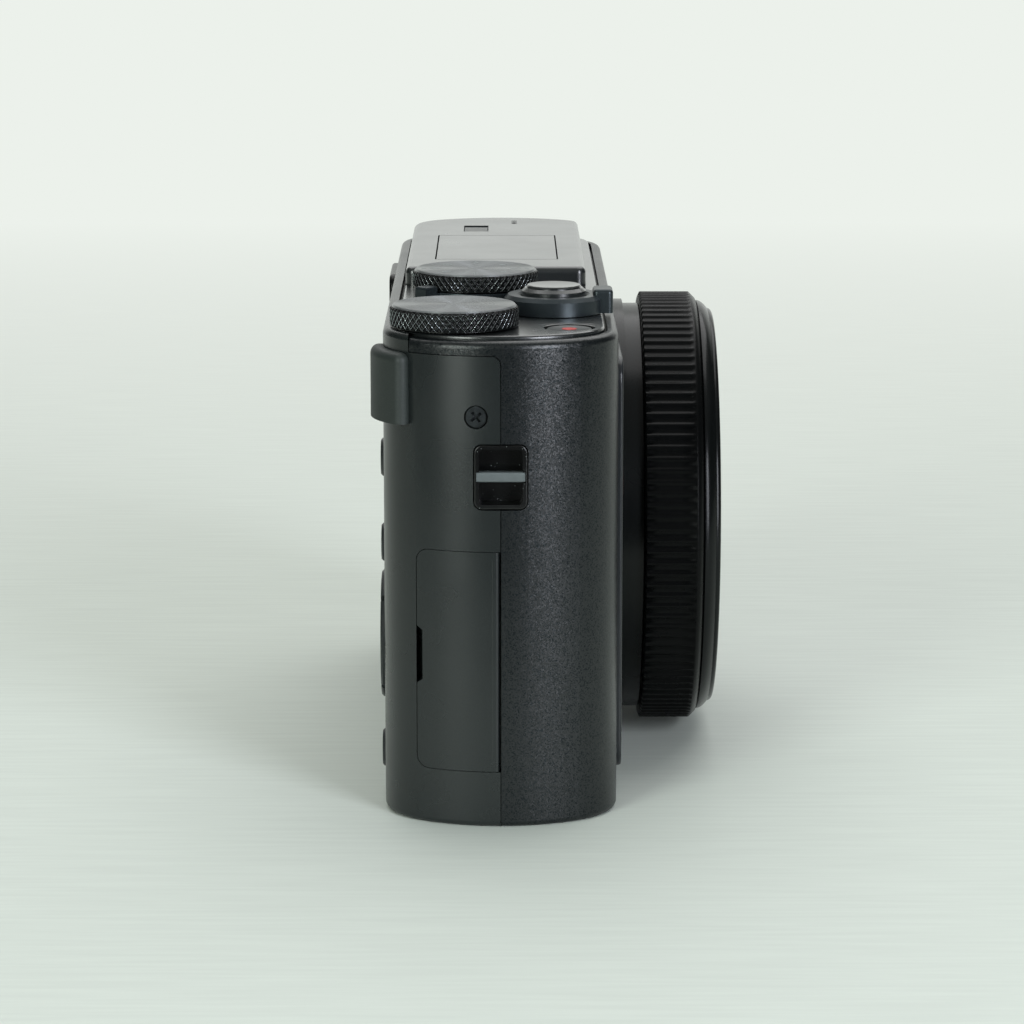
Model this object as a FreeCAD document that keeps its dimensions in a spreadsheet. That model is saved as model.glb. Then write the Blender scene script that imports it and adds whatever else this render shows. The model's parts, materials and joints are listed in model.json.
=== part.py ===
import FreeCAD, Part
import Sketcher
import math
import os
from types import SimpleNamespace

from FreeCAD import Placement, Rotation, Vector

# Compact camera with a retracting zoom lens.
# Row frame: +Z up, the front looks along -Y and the grip end lies at -X.
# The origin is the mouth of the tripod socket, under the lens axis.

SIZES = {
    # Casing
    "grip_end": 58.0,
    "far_end": 55.0,
    "body_depth": 30.0,
    "apex_radius": 20.0,
    "corner_radius": 10.0,
    "wall": 1.4,
    "seam_drop": 2.3,
    "band_drop": 0.5,
    "plate_top": 62.9,
    "band_rear_depth": 3.5,
    "seam_gap": 0.1,
    "seam_turn": 1.1,
    "base_round": 0.8,
    "rim_round": 0.9,
    "rear_rim_round": 0.9,
    "ledge_width": 1.2,
    "ledge_drop": 1.5,
    "lip_width": 2.0,
    # Top plate
    "rim_gap": 0.4,
    "plate_round": 0.35,
    # Base plate
    "plate_gap": 0.1,
    "base_flange": 0.8,
    "socket_radius": 6.0,
    "socket_bore": 3.2,
    "socket_depth": 4.6,
    "socket_height": 5.2,
    # Front plate
    "trim_left": 44.0,
    "trim_right": 43.0,
    "trim_low": 3.8,
    "trim_high": 58.1,
    "trim_proud": 0.75,
    "trim_round": 3.0,
    # Raised top housing
    "housing_left": 8.0,
    "housing_front": 11.7,
    "housing_rise": 2.6,
    "housing_inset": 1.9,
    "housing_round": 0.9,
    "housing_corner": 1.2,
    # Pop-up flash
    "lid_left": 0.7,
    "lid_right": 29.0,
    "lid_front": 7.8,
    "lid_rear": 9.0,
    "lid_thickness": 1.0,
    "lid_gap": 0.2,
    "well_wall": 1.1,
    "well_floor": 0.5,
    "well_depth": 6.6,
    "flash_case_depth": 5.8,
    "flash_case_rear": 0.6,
    "flash_case_inset": 4.1,
    "flash_window_height": 3.6,
    "flash_window_width": 17.6,
    "flash_window_depth": 0.8,
    "flash_pivot_y": 7.4,
    "flash_pivot_depth": 4.6,
    "flash_arm_length": 10.0,
    "flash_arm_thickness": 1.4,
    "flash_shaft_radius": 0.8,
    "flash_pin_radius": 0.7,
    # Lens
    "lens_level": 30.8,
    "tube_bore": 24.5,
    "tube_radius": 25.4,
    "tube_rear": 4.0,
    "base_step_radius": 29.0,
    "base_barrel_radius": 28.4,
    "base_step_front": 16.9,
    "base_barrel_front": 19.1,
    "ring_seat_radius": 26.2,
    "ring_bore": 26.25,
    "ring_radius": 30.0,
    "ring_rear": 19.25,
    "ring_front": 27.1,
    "ring_chamfer": 0.8,
    "tube_front": 27.2,
    "bezel_front": 29.5,
    "bezel_radius": 27.2,
    "bezel_bore": 24.6,
    "outer_barrel_gap": 0.3,
    "outer_barrel_wall": 1.8,
    "outer_barrel_front": 28.8,
    "outer_barrel_rear": 4.0,
    "inner_barrel_gap": 0.4,
    "inner_barrel_wall": 0.9,
    "inner_barrel_front": 29.3,
    "inner_barrel_rear": 8.4,
    "window_radius": 9.6,
    "front_wall": 0.9,
    "blade_chamber": 0.7,
    "cell_wall_radius": 14.6,
    "cell_bore": 13.7,
    "cell_mouth": 12.6,
    "cell_thickness": 0.8,
    "cell_length": 4.9,
    "element_front": 27.55,
    "element_radius": 13.55,
    "element_rear": 22.6,
    "element_curve": 60.0,
    "unit_front": 7.6,
    "unit_rear": 4.3,
    "unit_gap": 0.05,
    "unit_bore": 8.5,
    "rod_radius": 0.8,
    "rod_reach": 15.0,
    "rod_front": 3.6,
    "focus_front": 2.6,
    "focus_rear": 1.0,
    "focus_radius": 11.0,
    "focus_bore": 8.0,
    "aperture_radius": 9.5,
    # Barrier blades
    "blade_pivot": 18.6,
    "blade_pin_radius": 0.6,
    "blade_eye_radius": 1.5,
    "blade_radius": 10.1,
    "blade_thickness": 0.4,
    "blade_gap": 0.12,
    # Top controls
    "thumb_dial_x": 47.3,
    "thumb_dial_y": 5.9,
    "thumb_dial_radius": 8.2,
    "thumb_dial_rise": 2.9,
    "dial_chamfer": 0.8,
    "dial_gap": 0.2,
    "thumb_shaft_radius": 2.0,
    "mode_dial_x": 20.0,
    "mode_dial_y": 3.4,
    "mode_dial_radius": 8.4,
    "mode_dial_lift": 1.65,
    "mode_dial_height": 2.35,
    "mode_shaft_radius": 2.5,
    "lever_bush_radius": 4.4,
    "lever_lift": 0.1,
    "lever_radius": 8.2,
    "lever_below_dial": 0.15,
    "lever_tab_reach": 10.9,
    "lever_tab_width": 1.9,
    "lever_tab_rise": 2.5,
    "lever_tab_angle": 138.7,
    "collar_x": 34.0,
    "collar_y": 6.9,
    "collar_radius": 6.45,
    "collar_bore": 4.45,
    "collar_rise": 2.4,
    "collar_web": 1.2,
    "collar_bush_radius": 2.9,
    "collar_tab_front": 14.6,
    "collar_tab_inner": 12.0,
    "collar_tab_width": 4.6,
    "collar_tab_rise": 0.8,
    "shutter_skirt_radius": 4.2,
    "shutter_top_radius": 3.3,
    "shutter_rise": 1.2,
    "shutter_skirt_height": 1.4,
    "shutter_stem_radius": 2.0,
    "movie_x": 48.3,
    "movie_y": 8.7,
    "movie_radius": 2.95,
    "movie_sink": 0.15,
    "movie_dish_radius": 4.1,
    "movie_dish_depth": 0.5,
    "shaft_gap": 0.05,
    # Inner boards under the top plate
    "board_thickness": 1.0,
    "top_board_depth": 4.9,
    # Rear controls
    "column_x": 38.0,
    "upper_button_z": 44.4,
    "middle_button_z": 33.1,
    "lower_button_z": 5.4,
    "button_radius": 2.5,
    "button_proud": 0.6,
    "button_flange": 3.1,
    "button_hole_gap": 0.1,
    "pad_z": 20.9,
    "pad_radius": 8.35,
    "pad_bore": 4.4,
    "pad_flange": 8.8,
    "pad_proud": 0.6,
    "pad_key_angle": 85.0,
    "centre_button_radius": 4.05,
    "key_board_depth": 2.8,
    # Screen
    "screen_left": 27.3,
    "screen_right": 42.5,
    "screen_low": 3.4,
    "screen_high": 48.6,
    "screen_gap": 0.15,
    "screen_margin": 0.8,
    "module_depth": 4.0,
    # Viewfinder
    "eyepiece_left": 23.0,
    "eyepiece_right": 40.0,
    "eyepiece_low": 50.7,
    "eyepiece_high": 60.3,
    "eyepiece_proud": 1.3,
    "eyepiece_border": 2.3,
    "eyepiece_glass_depth": 1.4,
    "finder_front": 2.5,
    "finder_top": 58.4,
    "diopter_x": 45.6,
    "diopter_depth": 3.3,
    "diopter_radius": 4.0,
    "diopter_low": 53.6,
    "diopter_high": 56.4,
    "diopter_shaft_radius": 0.9,
    "diopter_ear": 1.0,
    # Thumb rest
    "rest_low": 51.5,
    "rest_high": 60.5,
    "rest_proud": 1.6,
    "rest_inner": 45.0,
    "rest_round": 1.1,
    # Strap lugs
    "lug_z": 45.3,
    "lug_width": 6.7,
    "lug_height": 8.2,
    "lug_corner": 1.0,
    "lug_depth": 4.4,
    "lug_pocket_width": 5.5,
    "lug_pocket_height": 7.0,
    "lug_pocket_depth": 3.3,
    "lug_clearance": 0.12,
    "strap_bar_height": 1.3,
    "strap_bar_depth": 1.3,
    "strap_bar_sink": 0.15,
    # Port door
    "door_low": 7.3,
    "door_high": 35.7,
    "door_rear_depth": 4.35,
    "door_corner": 1.5,
    "door_thickness": 1.3,
    "door_gap": 0.08,
    "door_notch_low": 17.9,
    "door_notch_high": 26.1,
    "door_notch_depth": 0.7,
    "door_pivot_depth": 0.8,
    "door_pivot_y": 0.9,
    "door_edge_round": 0.5,
    "hinge_pin_radius": 0.4,
    "knuckle_radius": 0.8,
    "pin_gap": 0.03,
    "recess_floor": 50.6,
    "recess_low": 9.0,
    "recess_high": 34.0,
    "recess_front": 2.4,
    "recess_rear": 9.0,
    "usb_z": 17.0,
    "hdmi_z": 28.2,
    "port_y": 5.8,
    # Battery, card and their door
    "battery_left": 49.2,
    "battery_right": 27.7,
    "battery_front": 11.8,
    "battery_rear": 2.6,
    "battery_low": 2.4,
    "battery_height": 40.0,
    "card_left": 51.0,
    "card_width": 24.0,
    "card_height": 32.0,
    "card_thickness": 2.1,
    "card_front": 1.1,
    "bay_wall": 0.7,
    "bay_gap": 0.2,
    "bay_low": 2.3,
    "hatch_inset": 2.8,
    "hatch_right": 26.2,
    "hatch_rear": 2.4,
    "hatch_thickness": 1.3,
    "hatch_gap": 0.15,
    "hatch_edge_round": 0.5,
    "latch_length": 5.0,
    "latch_width": 6.0,
    "latch_travel": 2.5,
    "latch_depth": 0.8,
    # Chassis and electronics
    "chassis_front": 6.5,
    "chassis_rear": 7.5,
    "chassis_left": 26.4,
    "chassis_right": 49.0,
    "chassis_top": 49.8,
    "chassis_low": 2.3,
    "main_board_front": 8.5,
    "standoff_radius": 2.0,
    "sensor_width": 20.0,
    "sensor_height": 17.0,
    # Screws
    "screw_head_radius": 1.35,
    "screw_head_height": 0.9,
    "screw_shank_radius": 0.7,
    "end_screw_y": 3.1,
    "post_depth": 3.8,
    "end_screw_z": 52.9,
    # Autofocus lamp
    "lamp_x": 36.0,
    "lamp_z": 40.5,
    "lamp_radius": 3.2,
    "lamp_proud": 0.35,
    "lamp_stem_radius": 2.5,
    # Release slider of the flash
    "release_x": 34.0,
    "release_y": 2.0,
    "release_length": 5.0,
    "release_width": 3.4,
    "release_travel": 2.5,
    "release_depth": 0.5,
    "release_sink": 0.1,
}

SQUARE_TO = {
    "X": Rotation(Vector(0, 1, 0), 90),
    "Y": Rotation(Vector(1, 0, 0), -90),
    "Z": Rotation(),
}


class Size:
    """A length that knows its value and the sheet expression behind it."""

    def __init__(self, value, text):
        self.value = value
        self.text = text

    def joined(self, other, sign, value):
        return Size(value, f"({self.text} {sign} {as_size(other).text})")

    def __add__(self, other):
        return self.joined(other, "+", self.value + as_size(other).value)

    def __sub__(self, other):
        return self.joined(other, "-", self.value - as_size(other).value)

    def __mul__(self, other):
        return self.joined(other, "*", self.value * as_size(other).value)

    def __truediv__(self, other):
        return self.joined(other, "/", self.value / as_size(other).value)

    def __neg__(self):
        return Size(-self.value, f"(0 - {self.text})")

    def root(self):
        return Size(math.sqrt(self.value), f"sqrt({self.text})")


def as_size(number):
    """Give a plain number the same form as a driven size."""
    if isinstance(number, Size):
        return number
    return Size(float(number), repr(float(number)))


DOC = FreeCAD.newDocument("CompactCamera")
SHEET = DOC.addObject("Spreadsheet::Sheet", "Sizes")
PARTS = []


def fill_sheet():
    """Write each driving dimension to the sheet and hand back its sizes."""
    for row, (name, value) in enumerate(SIZES.items(), start=1):
        SHEET.set(f"A{row}", name)
        SHEET.set(f"B{row}", str(value))
        SHEET.setAlias(f"B{row}", name)
    DOC.recompute()
    return SimpleNamespace(**{name: Size(value, f"Sizes.{name}") for name, value in SIZES.items()})


def derive_sizes(s):
    """Add the sizes that follow from others, so that a change to one carries its neighbours."""
    rear = s.body_depth / 2
    s.band_rear = rear - s.band_rear_depth
    s.door_rear = rear - s.door_rear_depth
    s.key_board_front = rear - s.key_board_depth
    s.module_front = rear - s.module_depth
    s.diopter_y = rear - s.diopter_depth
    s.seam_level = s.plate_top - s.seam_drop
    s.band_top = s.plate_top - s.band_drop
    s.ledge_level = s.plate_top - s.ledge_drop
    s.top_board_top = s.plate_top - s.top_board_depth
    s.housing_top = s.plate_top + s.housing_rise
    s.well_low = s.housing_top - s.well_depth
    s.flash_case_low = s.housing_top - s.flash_case_depth
    s.flash_pivot_z = s.housing_top - s.flash_pivot_depth
    s.thumb_dial_top = s.plate_top + s.thumb_dial_rise
    s.mode_dial_low = s.plate_top + s.mode_dial_lift
    s.mode_dial_top = s.mode_dial_low + s.mode_dial_height
    s.lever_top = s.mode_dial_low - s.lever_below_dial
    s.lever_tab_top = s.plate_top + s.lever_tab_rise
    s.collar_top = s.plate_top + s.collar_rise
    s.collar_tab_top = s.collar_top + s.collar_tab_rise
    s.shutter_top = s.collar_top + s.shutter_rise
    s.shutter_skirt_low = s.shutter_top - s.shutter_skirt_height
    s.movie_top = s.plate_top - s.movie_sink
    s.outer_barrel_radius = s.tube_bore - s.outer_barrel_gap
    s.outer_barrel_bore = s.outer_barrel_radius - s.outer_barrel_wall
    s.inner_barrel_radius = s.outer_barrel_bore - s.inner_barrel_gap
    s.inner_barrel_bore = s.inner_barrel_radius - s.inner_barrel_wall
    s.unit_radius = s.outer_barrel_bore - s.unit_gap


s = fill_sheet()
derive_sizes(s)

FRONT = -(s.body_depth / 2)
REAR = s.body_depth / 2
INNER_FRONT = FRONT + s.wall
INNER_REAR = REAR - s.wall
LEFT = -s.grip_end
RIGHT = s.far_end
FAR_OUT = 80


def bind(item, prop, size):
    """Tie one property to the sheet."""
    item.setExpression(prop, as_size(size).text)


def place(item, x, y, z, rotation):
    """Set the rotation, then tie the position to the sheet."""
    position = [as_size(value) for value in (x, y, z)]
    item.Placement = Placement(Vector(*[value.value for value in position]), rotation)
    for letter, value in zip("xyz", position):
        bind(item, f"Placement.Base.{letter}", value)


def spot(axis, low, at):
    """Position of a feature that starts at low on its axis, with its two other coordinates in at."""
    if axis == "X":
        return low, at[0], at[1]
    if axis == "Y":
        return at[0], low, at[1]
    return at[0], at[1], low


def box(name, x, y, z):
    """A block between two limits on each axis."""
    item = DOC.addObject("Part::Box", name)
    for prop, span in zip(("Length", "Width", "Height"), (x, y, z)):
        bind(item, prop, as_size(span[1]) - span[0])
    place(item, x[0], y[0], z[0], Rotation())
    return item


def cylinder(name, radius, low, high, axis="Z", at=(0, 0), start=0, sweep=360):
    """A round bar, or a sector of one, along a row axis."""
    item = DOC.addObject("Part::Cylinder", name)
    bind(item, "Radius", radius)
    bind(item, "Height", as_size(high) - low)
    bind(item, "Angle", sweep)
    place(item, *spot(axis, low, at), SQUARE_TO[axis] * Rotation(Vector(0, 0, 1), start))
    return item


def cone(name, radius_low, radius_high, low, high, axis, at):
    """A tapered round bar along a row axis."""
    item = DOC.addObject("Part::Cone", name)
    bind(item, "Radius1", radius_low)
    bind(item, "Radius2", radius_high)
    bind(item, "Height", as_size(high) - low)
    place(item, *spot(axis, low, at), SQUARE_TO[axis])
    return item


def fuse(name, *items):
    """Join several solids into one."""
    item = DOC.addObject("Part::MultiFuse", name)
    item.Shapes = list(items)
    item.Refine = True
    return item


def cut(name, base, *tools):
    """Take the tools away from the base."""
    tool = tools[0] if len(tools) == 1 else fuse(name + "_tools", *tools)
    item = DOC.addObject("Part::Cut", name)
    item.Base = base
    item.Tool = tool
    item.Refine = True
    return item


def common(name, first, second):
    """Keep what two solids share."""
    item = DOC.addObject("Part::MultiCommon", name)
    item.Shapes = [first, second]
    item.Refine = True
    return item


def rounded(name, base, radius, wanted):
    """Round the edges of the base that the test picks out."""
    DOC.recompute()
    radius = as_size(radius)
    picks = [number for number, edge in enumerate(base.Shape.Edges, start=1) if wanted(edge)]
    item = DOC.addObject("Part::Fillet", name)
    item.Base = base
    item.Edges = [(number, radius.value, radius.value) for number in picks]
    return item


def at_level(level, axis="z"):
    """Test for edges that lie wholly at one coordinate."""
    level = as_size(level).value

    def test(edge):
        limits = edge.BoundBox
        low = getattr(limits, axis.upper() + "Min")
        high = getattr(limits, axis.upper() + "Max")
        return abs(low - level) < 0.01 and abs(high - level) < 0.01

    return test


def along(axis):
    """Test for straight edges that run along a row axis."""
    index = "XYZ".index(axis)

    def test(edge):
        if edge.Curve.TypeId != "Part::GeomLine":
            return False
        return abs(abs(edge.Curve.Direction[index]) - 1) < 0.001

    return test


def keep(name, item):
    """Name a finished sub-part and put it on the list to be written."""
    item.Label = name
    PARTS.append((name, item))
    return item


def new_body(name, plane_role):
    """A body with one sketch on one of its own origin planes."""
    body = DOC.addObject("PartDesign::Body", name)
    sketch = body.newObject("Sketcher::SketchObject", name + "_outline")
    planes = [plane for plane in body.Origin.OriginFeatures if plane.Role == plane_role]
    sketch.AttachmentSupport = [(planes[0], "")]
    sketch.MapMode = "FlatFace"
    return body, sketch


def fix_coordinate(sketch, kind, geometry, position, size):
    """Hold one coordinate of a sketch point at a driven size."""
    size = as_size(size)
    number = sketch.addConstraint(Sketcher.Constraint(kind, -1, 1, geometry, position, size.value))
    sketch.setExpression(f"Constraints[{number}]", size.text)


def fix_point(sketch, geometry, position, x, y):
    """Hold one point of a sketch at two driven coordinates."""
    fix_coordinate(sketch, "DistanceX", geometry, position, x)
    fix_coordinate(sketch, "DistanceY", geometry, position, y)


def fix_radius(sketch, geometry, radius):
    """Hold the radius of an arc at a driven size."""
    number = sketch.addConstraint(Sketcher.Constraint("Radius", geometry, radius.value))
    sketch.setExpression(f"Constraints[{number}]", radius.text)


def draw_polygon(sketch, points):
    """A closed outline of straight lines through driven points."""
    points = [(as_size(x), as_size(y)) for x, y in points]
    count = len(points)
    for number, (x, y) in enumerate(points):
        end_x, end_y = points[(number + 1) % count]
        line = Part.LineSegment(Vector(x.value, y.value, 0), Vector(end_x.value, end_y.value, 0))
        sketch.addGeometry(line, False)
    for number in range(count):
        sketch.addConstraint(Sketcher.Constraint("Coincident", number, 2, (number + 1) % count, 1))
    for number, (x, y) in enumerate(points):
        fix_point(sketch, number, 1, x, y)


def draw_rounded_rectangle(sketch, x, y, radius):
    """A rectangle with four equal round corners."""
    low_x, high_x = as_size(x[0]), as_size(x[1])
    low_y, high_y = as_size(y[0]), as_size(y[1])
    radius = as_size(radius)
    corners = [
        (low_x + radius, low_y + radius, 180),
        (high_x - radius, low_y + radius, 270),
        (high_x - radius, high_y - radius, 0),
        (low_x + radius, high_y - radius, 90),
    ]
    for centre_x, centre_y, start in corners:
        middle = Vector(centre_x.value, centre_y.value, 0)
        circle = Part.Circle(middle, Vector(0, 0, 1), radius.value)
        sketch.addGeometry(Part.ArcOfCircle(circle, math.radians(start), math.radians(start + 90)), False)
    for number in range(4):
        arc_end = sketch.getPoint(number, 2)
        next_start = sketch.getPoint((number + 1) % 4, 1)
        sketch.addGeometry(Part.LineSegment(arc_end, next_start), False)
    for number in range(4):
        line = number + 4
        sketch.addConstraint(Sketcher.Constraint("Tangent", number, 2, line, 1))
        sketch.addConstraint(Sketcher.Constraint("Tangent", line, 2, (number + 1) % 4, 1))
    fix_point(sketch, 0, 3, corners[0][0], corners[0][1])
    fix_point(sketch, 2, 3, corners[2][0], corners[2][1])
    fix_radius(sketch, 0, radius)
    fix_radius(sketch, 2, radius)


def draw_plan(sketch, inset):
    """The casing's outline from above: two flat sides and two flattened round ends."""
    apex = s.apex_radius - inset
    corner = s.corner_radius - inset
    side = REAR - inset
    corner_y = REAR - s.corner_radius
    spread = s.apex_radius - s.corner_radius
    reach = (spread * spread - corner_y * corner_y).root()
    apex_right = RIGHT - s.apex_radius
    apex_left = LEFT + s.apex_radius
    corner_right = apex_right + reach
    corner_left = apex_left - reach
    turn = math.atan2(corner_y.value, reach.value)
    half_turn = math.pi
    quarter = math.pi / 2

    def line(start_x, end_x, level):
        return Part.LineSegment(Vector(start_x.value, level.value, 0), Vector(end_x.value, level.value, 0))

    def arc(x, y, radius, start, end):
        circle = Part.Circle(Vector(x.value, y.value, 0), Vector(0, 0, 1), radius.value)
        return Part.ArcOfCircle(circle, start, end)

    middle = as_size(0)
    outline = [
        line(corner_left, corner_right, -side),
        arc(corner_right, -corner_y, corner, -quarter, -turn),
        arc(apex_right, middle, apex, -turn, turn),
        arc(corner_right, corner_y, corner, turn, quarter),
        line(corner_right, corner_left, side),
        arc(corner_left, corner_y, corner, quarter, half_turn - turn),
        arc(apex_left, middle, apex, half_turn - turn, half_turn + turn),
        arc(corner_left, -corner_y, corner, half_turn + turn, half_turn + quarter),
    ]
    for curve in outline:
        sketch.addGeometry(curve, False)
    for number in range(8):
        sketch.addConstraint(Sketcher.Constraint("Coincident", number, 2, (number + 1) % 8, 1))
    fix_point(sketch, 2, 3, apex_right, middle)
    fix_point(sketch, 6, 3, apex_left, middle)
    fix_point(sketch, 0, 1, corner_left, -side)
    fix_point(sketch, 0, 2, corner_right, -side)
    fix_point(sketch, 4, 1, corner_right, side)
    fix_point(sketch, 4, 2, corner_left, side)
    for apex_arc in (2, 6):
        fix_radius(sketch, apex_arc, apex)
    for corner_arc in (1, 3, 5, 7):
        fix_radius(sketch, corner_arc, corner)
    meeting = apex * corner_y / spread
    for apex_arc, end, level in ((2, 1, -meeting), (2, 2, meeting), (6, 1, meeting), (6, 2, -meeting)):
        fix_coordinate(sketch, "DistanceY", apex_arc, end, level)


def pad(body, sketch, length):
    """Thicken a sketch into a solid."""
    feature = body.newObject("PartDesign::Pad", body.Name + "_pad")
    feature.Profile = sketch
    bind(feature, "Length", length)
    return feature


def casing_block(name, inset, low, high):
    """An upright block on the casing's plan, drawn in by an inset."""
    body, sketch = new_body(name, "XY_Plane")
    draw_plan(sketch, as_size(inset))
    pad(body, sketch, as_size(high) - low)
    place(body, 0, 0, low, Rotation())
    return body


def rounded_block(name, x, y, z, axis, radius):
    """A block whose four edges along one axis are round."""
    body, sketch = new_body(name, "XY_Plane")
    if axis == "X":
        # The sketch's own x runs down the row's -Z and its y along +Y.
        draw_rounded_rectangle(sketch, (-as_size(z[1]), -as_size(z[0])), y, radius)
        low, span = x[0], as_size(x[1]) - x[0]
    elif axis == "Y":
        # The sketch's own y runs along the row's -Z.
        draw_rounded_rectangle(sketch, x, (-as_size(z[1]), -as_size(z[0])), radius)
        low, span = y[0], as_size(y[1]) - y[0]
    else:
        draw_rounded_rectangle(sketch, x, y, radius)
        low, span = z[0], as_size(z[1]) - z[0]
    pad(body, sketch, span)
    place(body, *spot(axis, low, (0, 0)), SQUARE_TO[axis])
    return body


def turned(name, profile, axis="Z", at=(0, 0)):
    """A piece turned about a row axis from (radius, position) points."""
    body, sketch = new_body(name, "XZ_Plane")
    draw_polygon(sketch, profile)
    feature = body.newObject("PartDesign::Revolution", name + "_turn")
    feature.Profile = sketch
    feature.ReferenceAxis = (sketch, ["V_Axis"])
    feature.Angle = 360
    place(body, *spot(axis, as_size(0), at), SQUARE_TO[axis])
    return body


def casing_shell(name, top, rim_round):
    """The hollow casing that both shells are cut from: floor lip, walls and the ledge under the top plate."""
    outer = casing_block(name + "_outer", 0, 0, top)
    base_soft = rounded(name + "_base_soft", outer, s.base_round, at_level(0))
    soft = rounded(name + "_soft", base_soft, rim_round, at_level(top))
    cavity = casing_block(name + "_cavity", s.wall, s.wall, s.seam_level + s.seam_gap / 2)
    ledge = casing_block(name + "_ledge", s.wall + s.ledge_width, s.seam_level - 1, s.ledge_level)
    mouth = casing_block(name + "_mouth", s.wall, s.ledge_level, as_size(top) + 1)
    floor = casing_block(name + "_floor", s.lip_width, -1, s.wall + 1)
    return cut(name + "_hollow", soft, cavity, ledge, mouth, floor)


def strap_cut(name, end, inward):
    """Opening for a strap lug in one end of the casing."""
    width = s.lug_width / 2 + s.lug_clearance
    height = s.lug_height / 2 + s.lug_clearance
    depth = (s.lug_depth + 1) * inward
    ends = (end - 2 * inward, end + depth)
    x = ends if inward > 0 else (ends[1], ends[0])
    return rounded_block(name, x, (-width, width), (s.lug_z - height, s.lug_z + height), "X",
                         s.lug_corner + s.lug_clearance)


def make_front_shell():
    """Front half of the casing, with the band that carries the top plate and the tabs for the end screws."""
    hollow = casing_shell("front_casing", s.band_top, s.rim_round)
    front_zone = box("front_zone", (-FAR_OUT, FAR_OUT), (FRONT - 1, -(s.seam_gap / 2)), (-1, s.band_top + 1))
    band_zone = box("band_zone", (-FAR_OUT, FAR_OUT), (-1, s.band_rear),
                    (s.seam_level + s.seam_gap / 2, s.band_top + 1))
    zones = rounded("front_zones", fuse("front_zones_sharp", front_zone, band_zone), s.seam_turn + s.seam_gap,
                    seam_corner(-(s.seam_gap / 2), s.seam_level + s.seam_gap / 2))
    half = common("front_half", hollow, zones)
    tabs = [screw_tab("tab_grip", LEFT, 1), screw_tab("tab_far", RIGHT, -1)]
    posts = [base_post("post_left", BASE_SCREWS[0]), base_post("post_right", BASE_SCREWS[1])]
    body = fuse("front_half_tabs", half, *tabs, *posts)
    lens_hole = cylinder("lens_hole", s.tube_radius + 0.3, FRONT - 1, INNER_FRONT + 1, "Y", (0, s.lens_level))
    lamp_hole = cylinder("lamp_hole", s.lamp_stem_radius + s.shaft_gap, FRONT - 1, INNER_FRONT + 1,
                         "Y", (-s.lamp_x, s.lamp_z))
    lugs = [strap_cut("front_lug_grip", LEFT, 1), strap_cut("front_lug_far", RIGHT, -1)]
    holes = [
        screw_hole("tab_hole_grip", LEFT - 1, LEFT + 8, "X", (s.end_screw_y, s.end_screw_z)),
        screw_hole("tab_hole_far", RIGHT - 8, RIGHT + 1, "X", (s.end_screw_y, s.end_screw_z)),
        screw_hole("post_hole_left", s.wall, 9, "Z", BASE_SCREWS[0]),
        screw_hole("post_hole_right", s.wall, 9, "Z", BASE_SCREWS[1]),
    ]
    keep("front_shell", cut("front_shell", body, lens_hole, lamp_hole, *lugs, *holes))


def seam_corner(y, z):
    """Test for the long edge where the seam turns from upright to level."""
    y, z = as_size(y).value, as_size(z).value

    def test(edge):
        middle = edge.CenterOfMass
        return along("X")(edge) and abs(middle.y - y) < 0.01 and abs(middle.z - z) < 0.01

    return test


def screw_hole(name, low, high, axis, at):
    """Hole that a case screw's shank runs in."""
    return cylinder(name, s.screw_shank_radius + s.shaft_gap, low, high, axis, at)


def screw_tab(name, end, inward):
    """Tongue of the front shell behind the rear shell's wall, which the end screw pulls on."""
    low, high = s.end_screw_z - 3, s.end_screw_z + 3.1
    far = end + (s.wall + 3.4) * inward
    x = (end, far) if inward > 0 else (far, end)
    inside = casing_block(name + "_inside", s.wall + s.seam_gap, low, high)
    tongue = box(name + "_tongue", x, (-1, s.end_screw_y + 2), (low, high))
    wall_zone = casing_block(name + "_wall_zone", s.wall / 2, low, high)
    heel = box(name + "_heel", x, (-2.4, -(s.seam_gap / 2)), (low, high))
    return fuse(name, common(name + "_front", tongue, inside), common(name + "_root", heel, wall_zone))


def base_post(name, at):
    """Post on the front wall that takes a base screw."""
    return cylinder(name, 2.9, s.wall + s.base_flange + s.plate_gap, 7.5, "Z", at)


def button_hole(name, z, radius):
    """Round hole through the rear wall in the control column."""
    return cylinder(name, radius, INNER_REAR - 1, REAR + 1, "Y", (-s.column_x, z))


def door_zone(name, gap):
    """Room of the port door, square at the seam and round at its rear corners."""
    x = (LEFT - 2, LEFT + 12)
    y = (-3, s.door_rear + gap)
    z = (s.door_low - gap, s.door_high + gap)
    return rounded_block(name, x, y, z, "X", s.door_corner + gap)


def recess_block():
    """Moulded box behind the port door, which holds the two sockets."""
    low, high = s.recess_low - 1.2, s.recess_high + 1.2
    deep = box("recess_deep", (LEFT, -s.recess_floor + 1), (s.recess_front - 0.4, s.recess_rear + 1.4), (low, high))
    shallow = box("recess_shallow", (LEFT, LEFT + 3.4), (s.seam_gap / 2, s.recess_front), (low, high))
    limit = casing_block("recess_limit", s.wall / 2, low, high)
    return common("recess_block", fuse("recess_boxes", deep, shallow), limit)


def hinge_line():
    """Where the port door's pin stands, seen from above."""
    return LEFT + s.door_pivot_depth, s.door_pivot_y


def diopter_ears():
    """Two ears inside the rear wall that carry the diopter wheel's shaft."""
    x = (s.diopter_x - 1.8, s.diopter_x + 1.8)
    y = (s.diopter_y - 1.8, INNER_REAR + 0.6)
    lower = box("diopter_ear_low", x, y, (s.diopter_low - 0.2 - s.diopter_ear, s.diopter_low - 0.2))
    upper = box("diopter_ear_high", x, y, (s.diopter_high + 0.2, s.diopter_high + 0.2 + s.diopter_ear))
    return lower, upper


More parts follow.
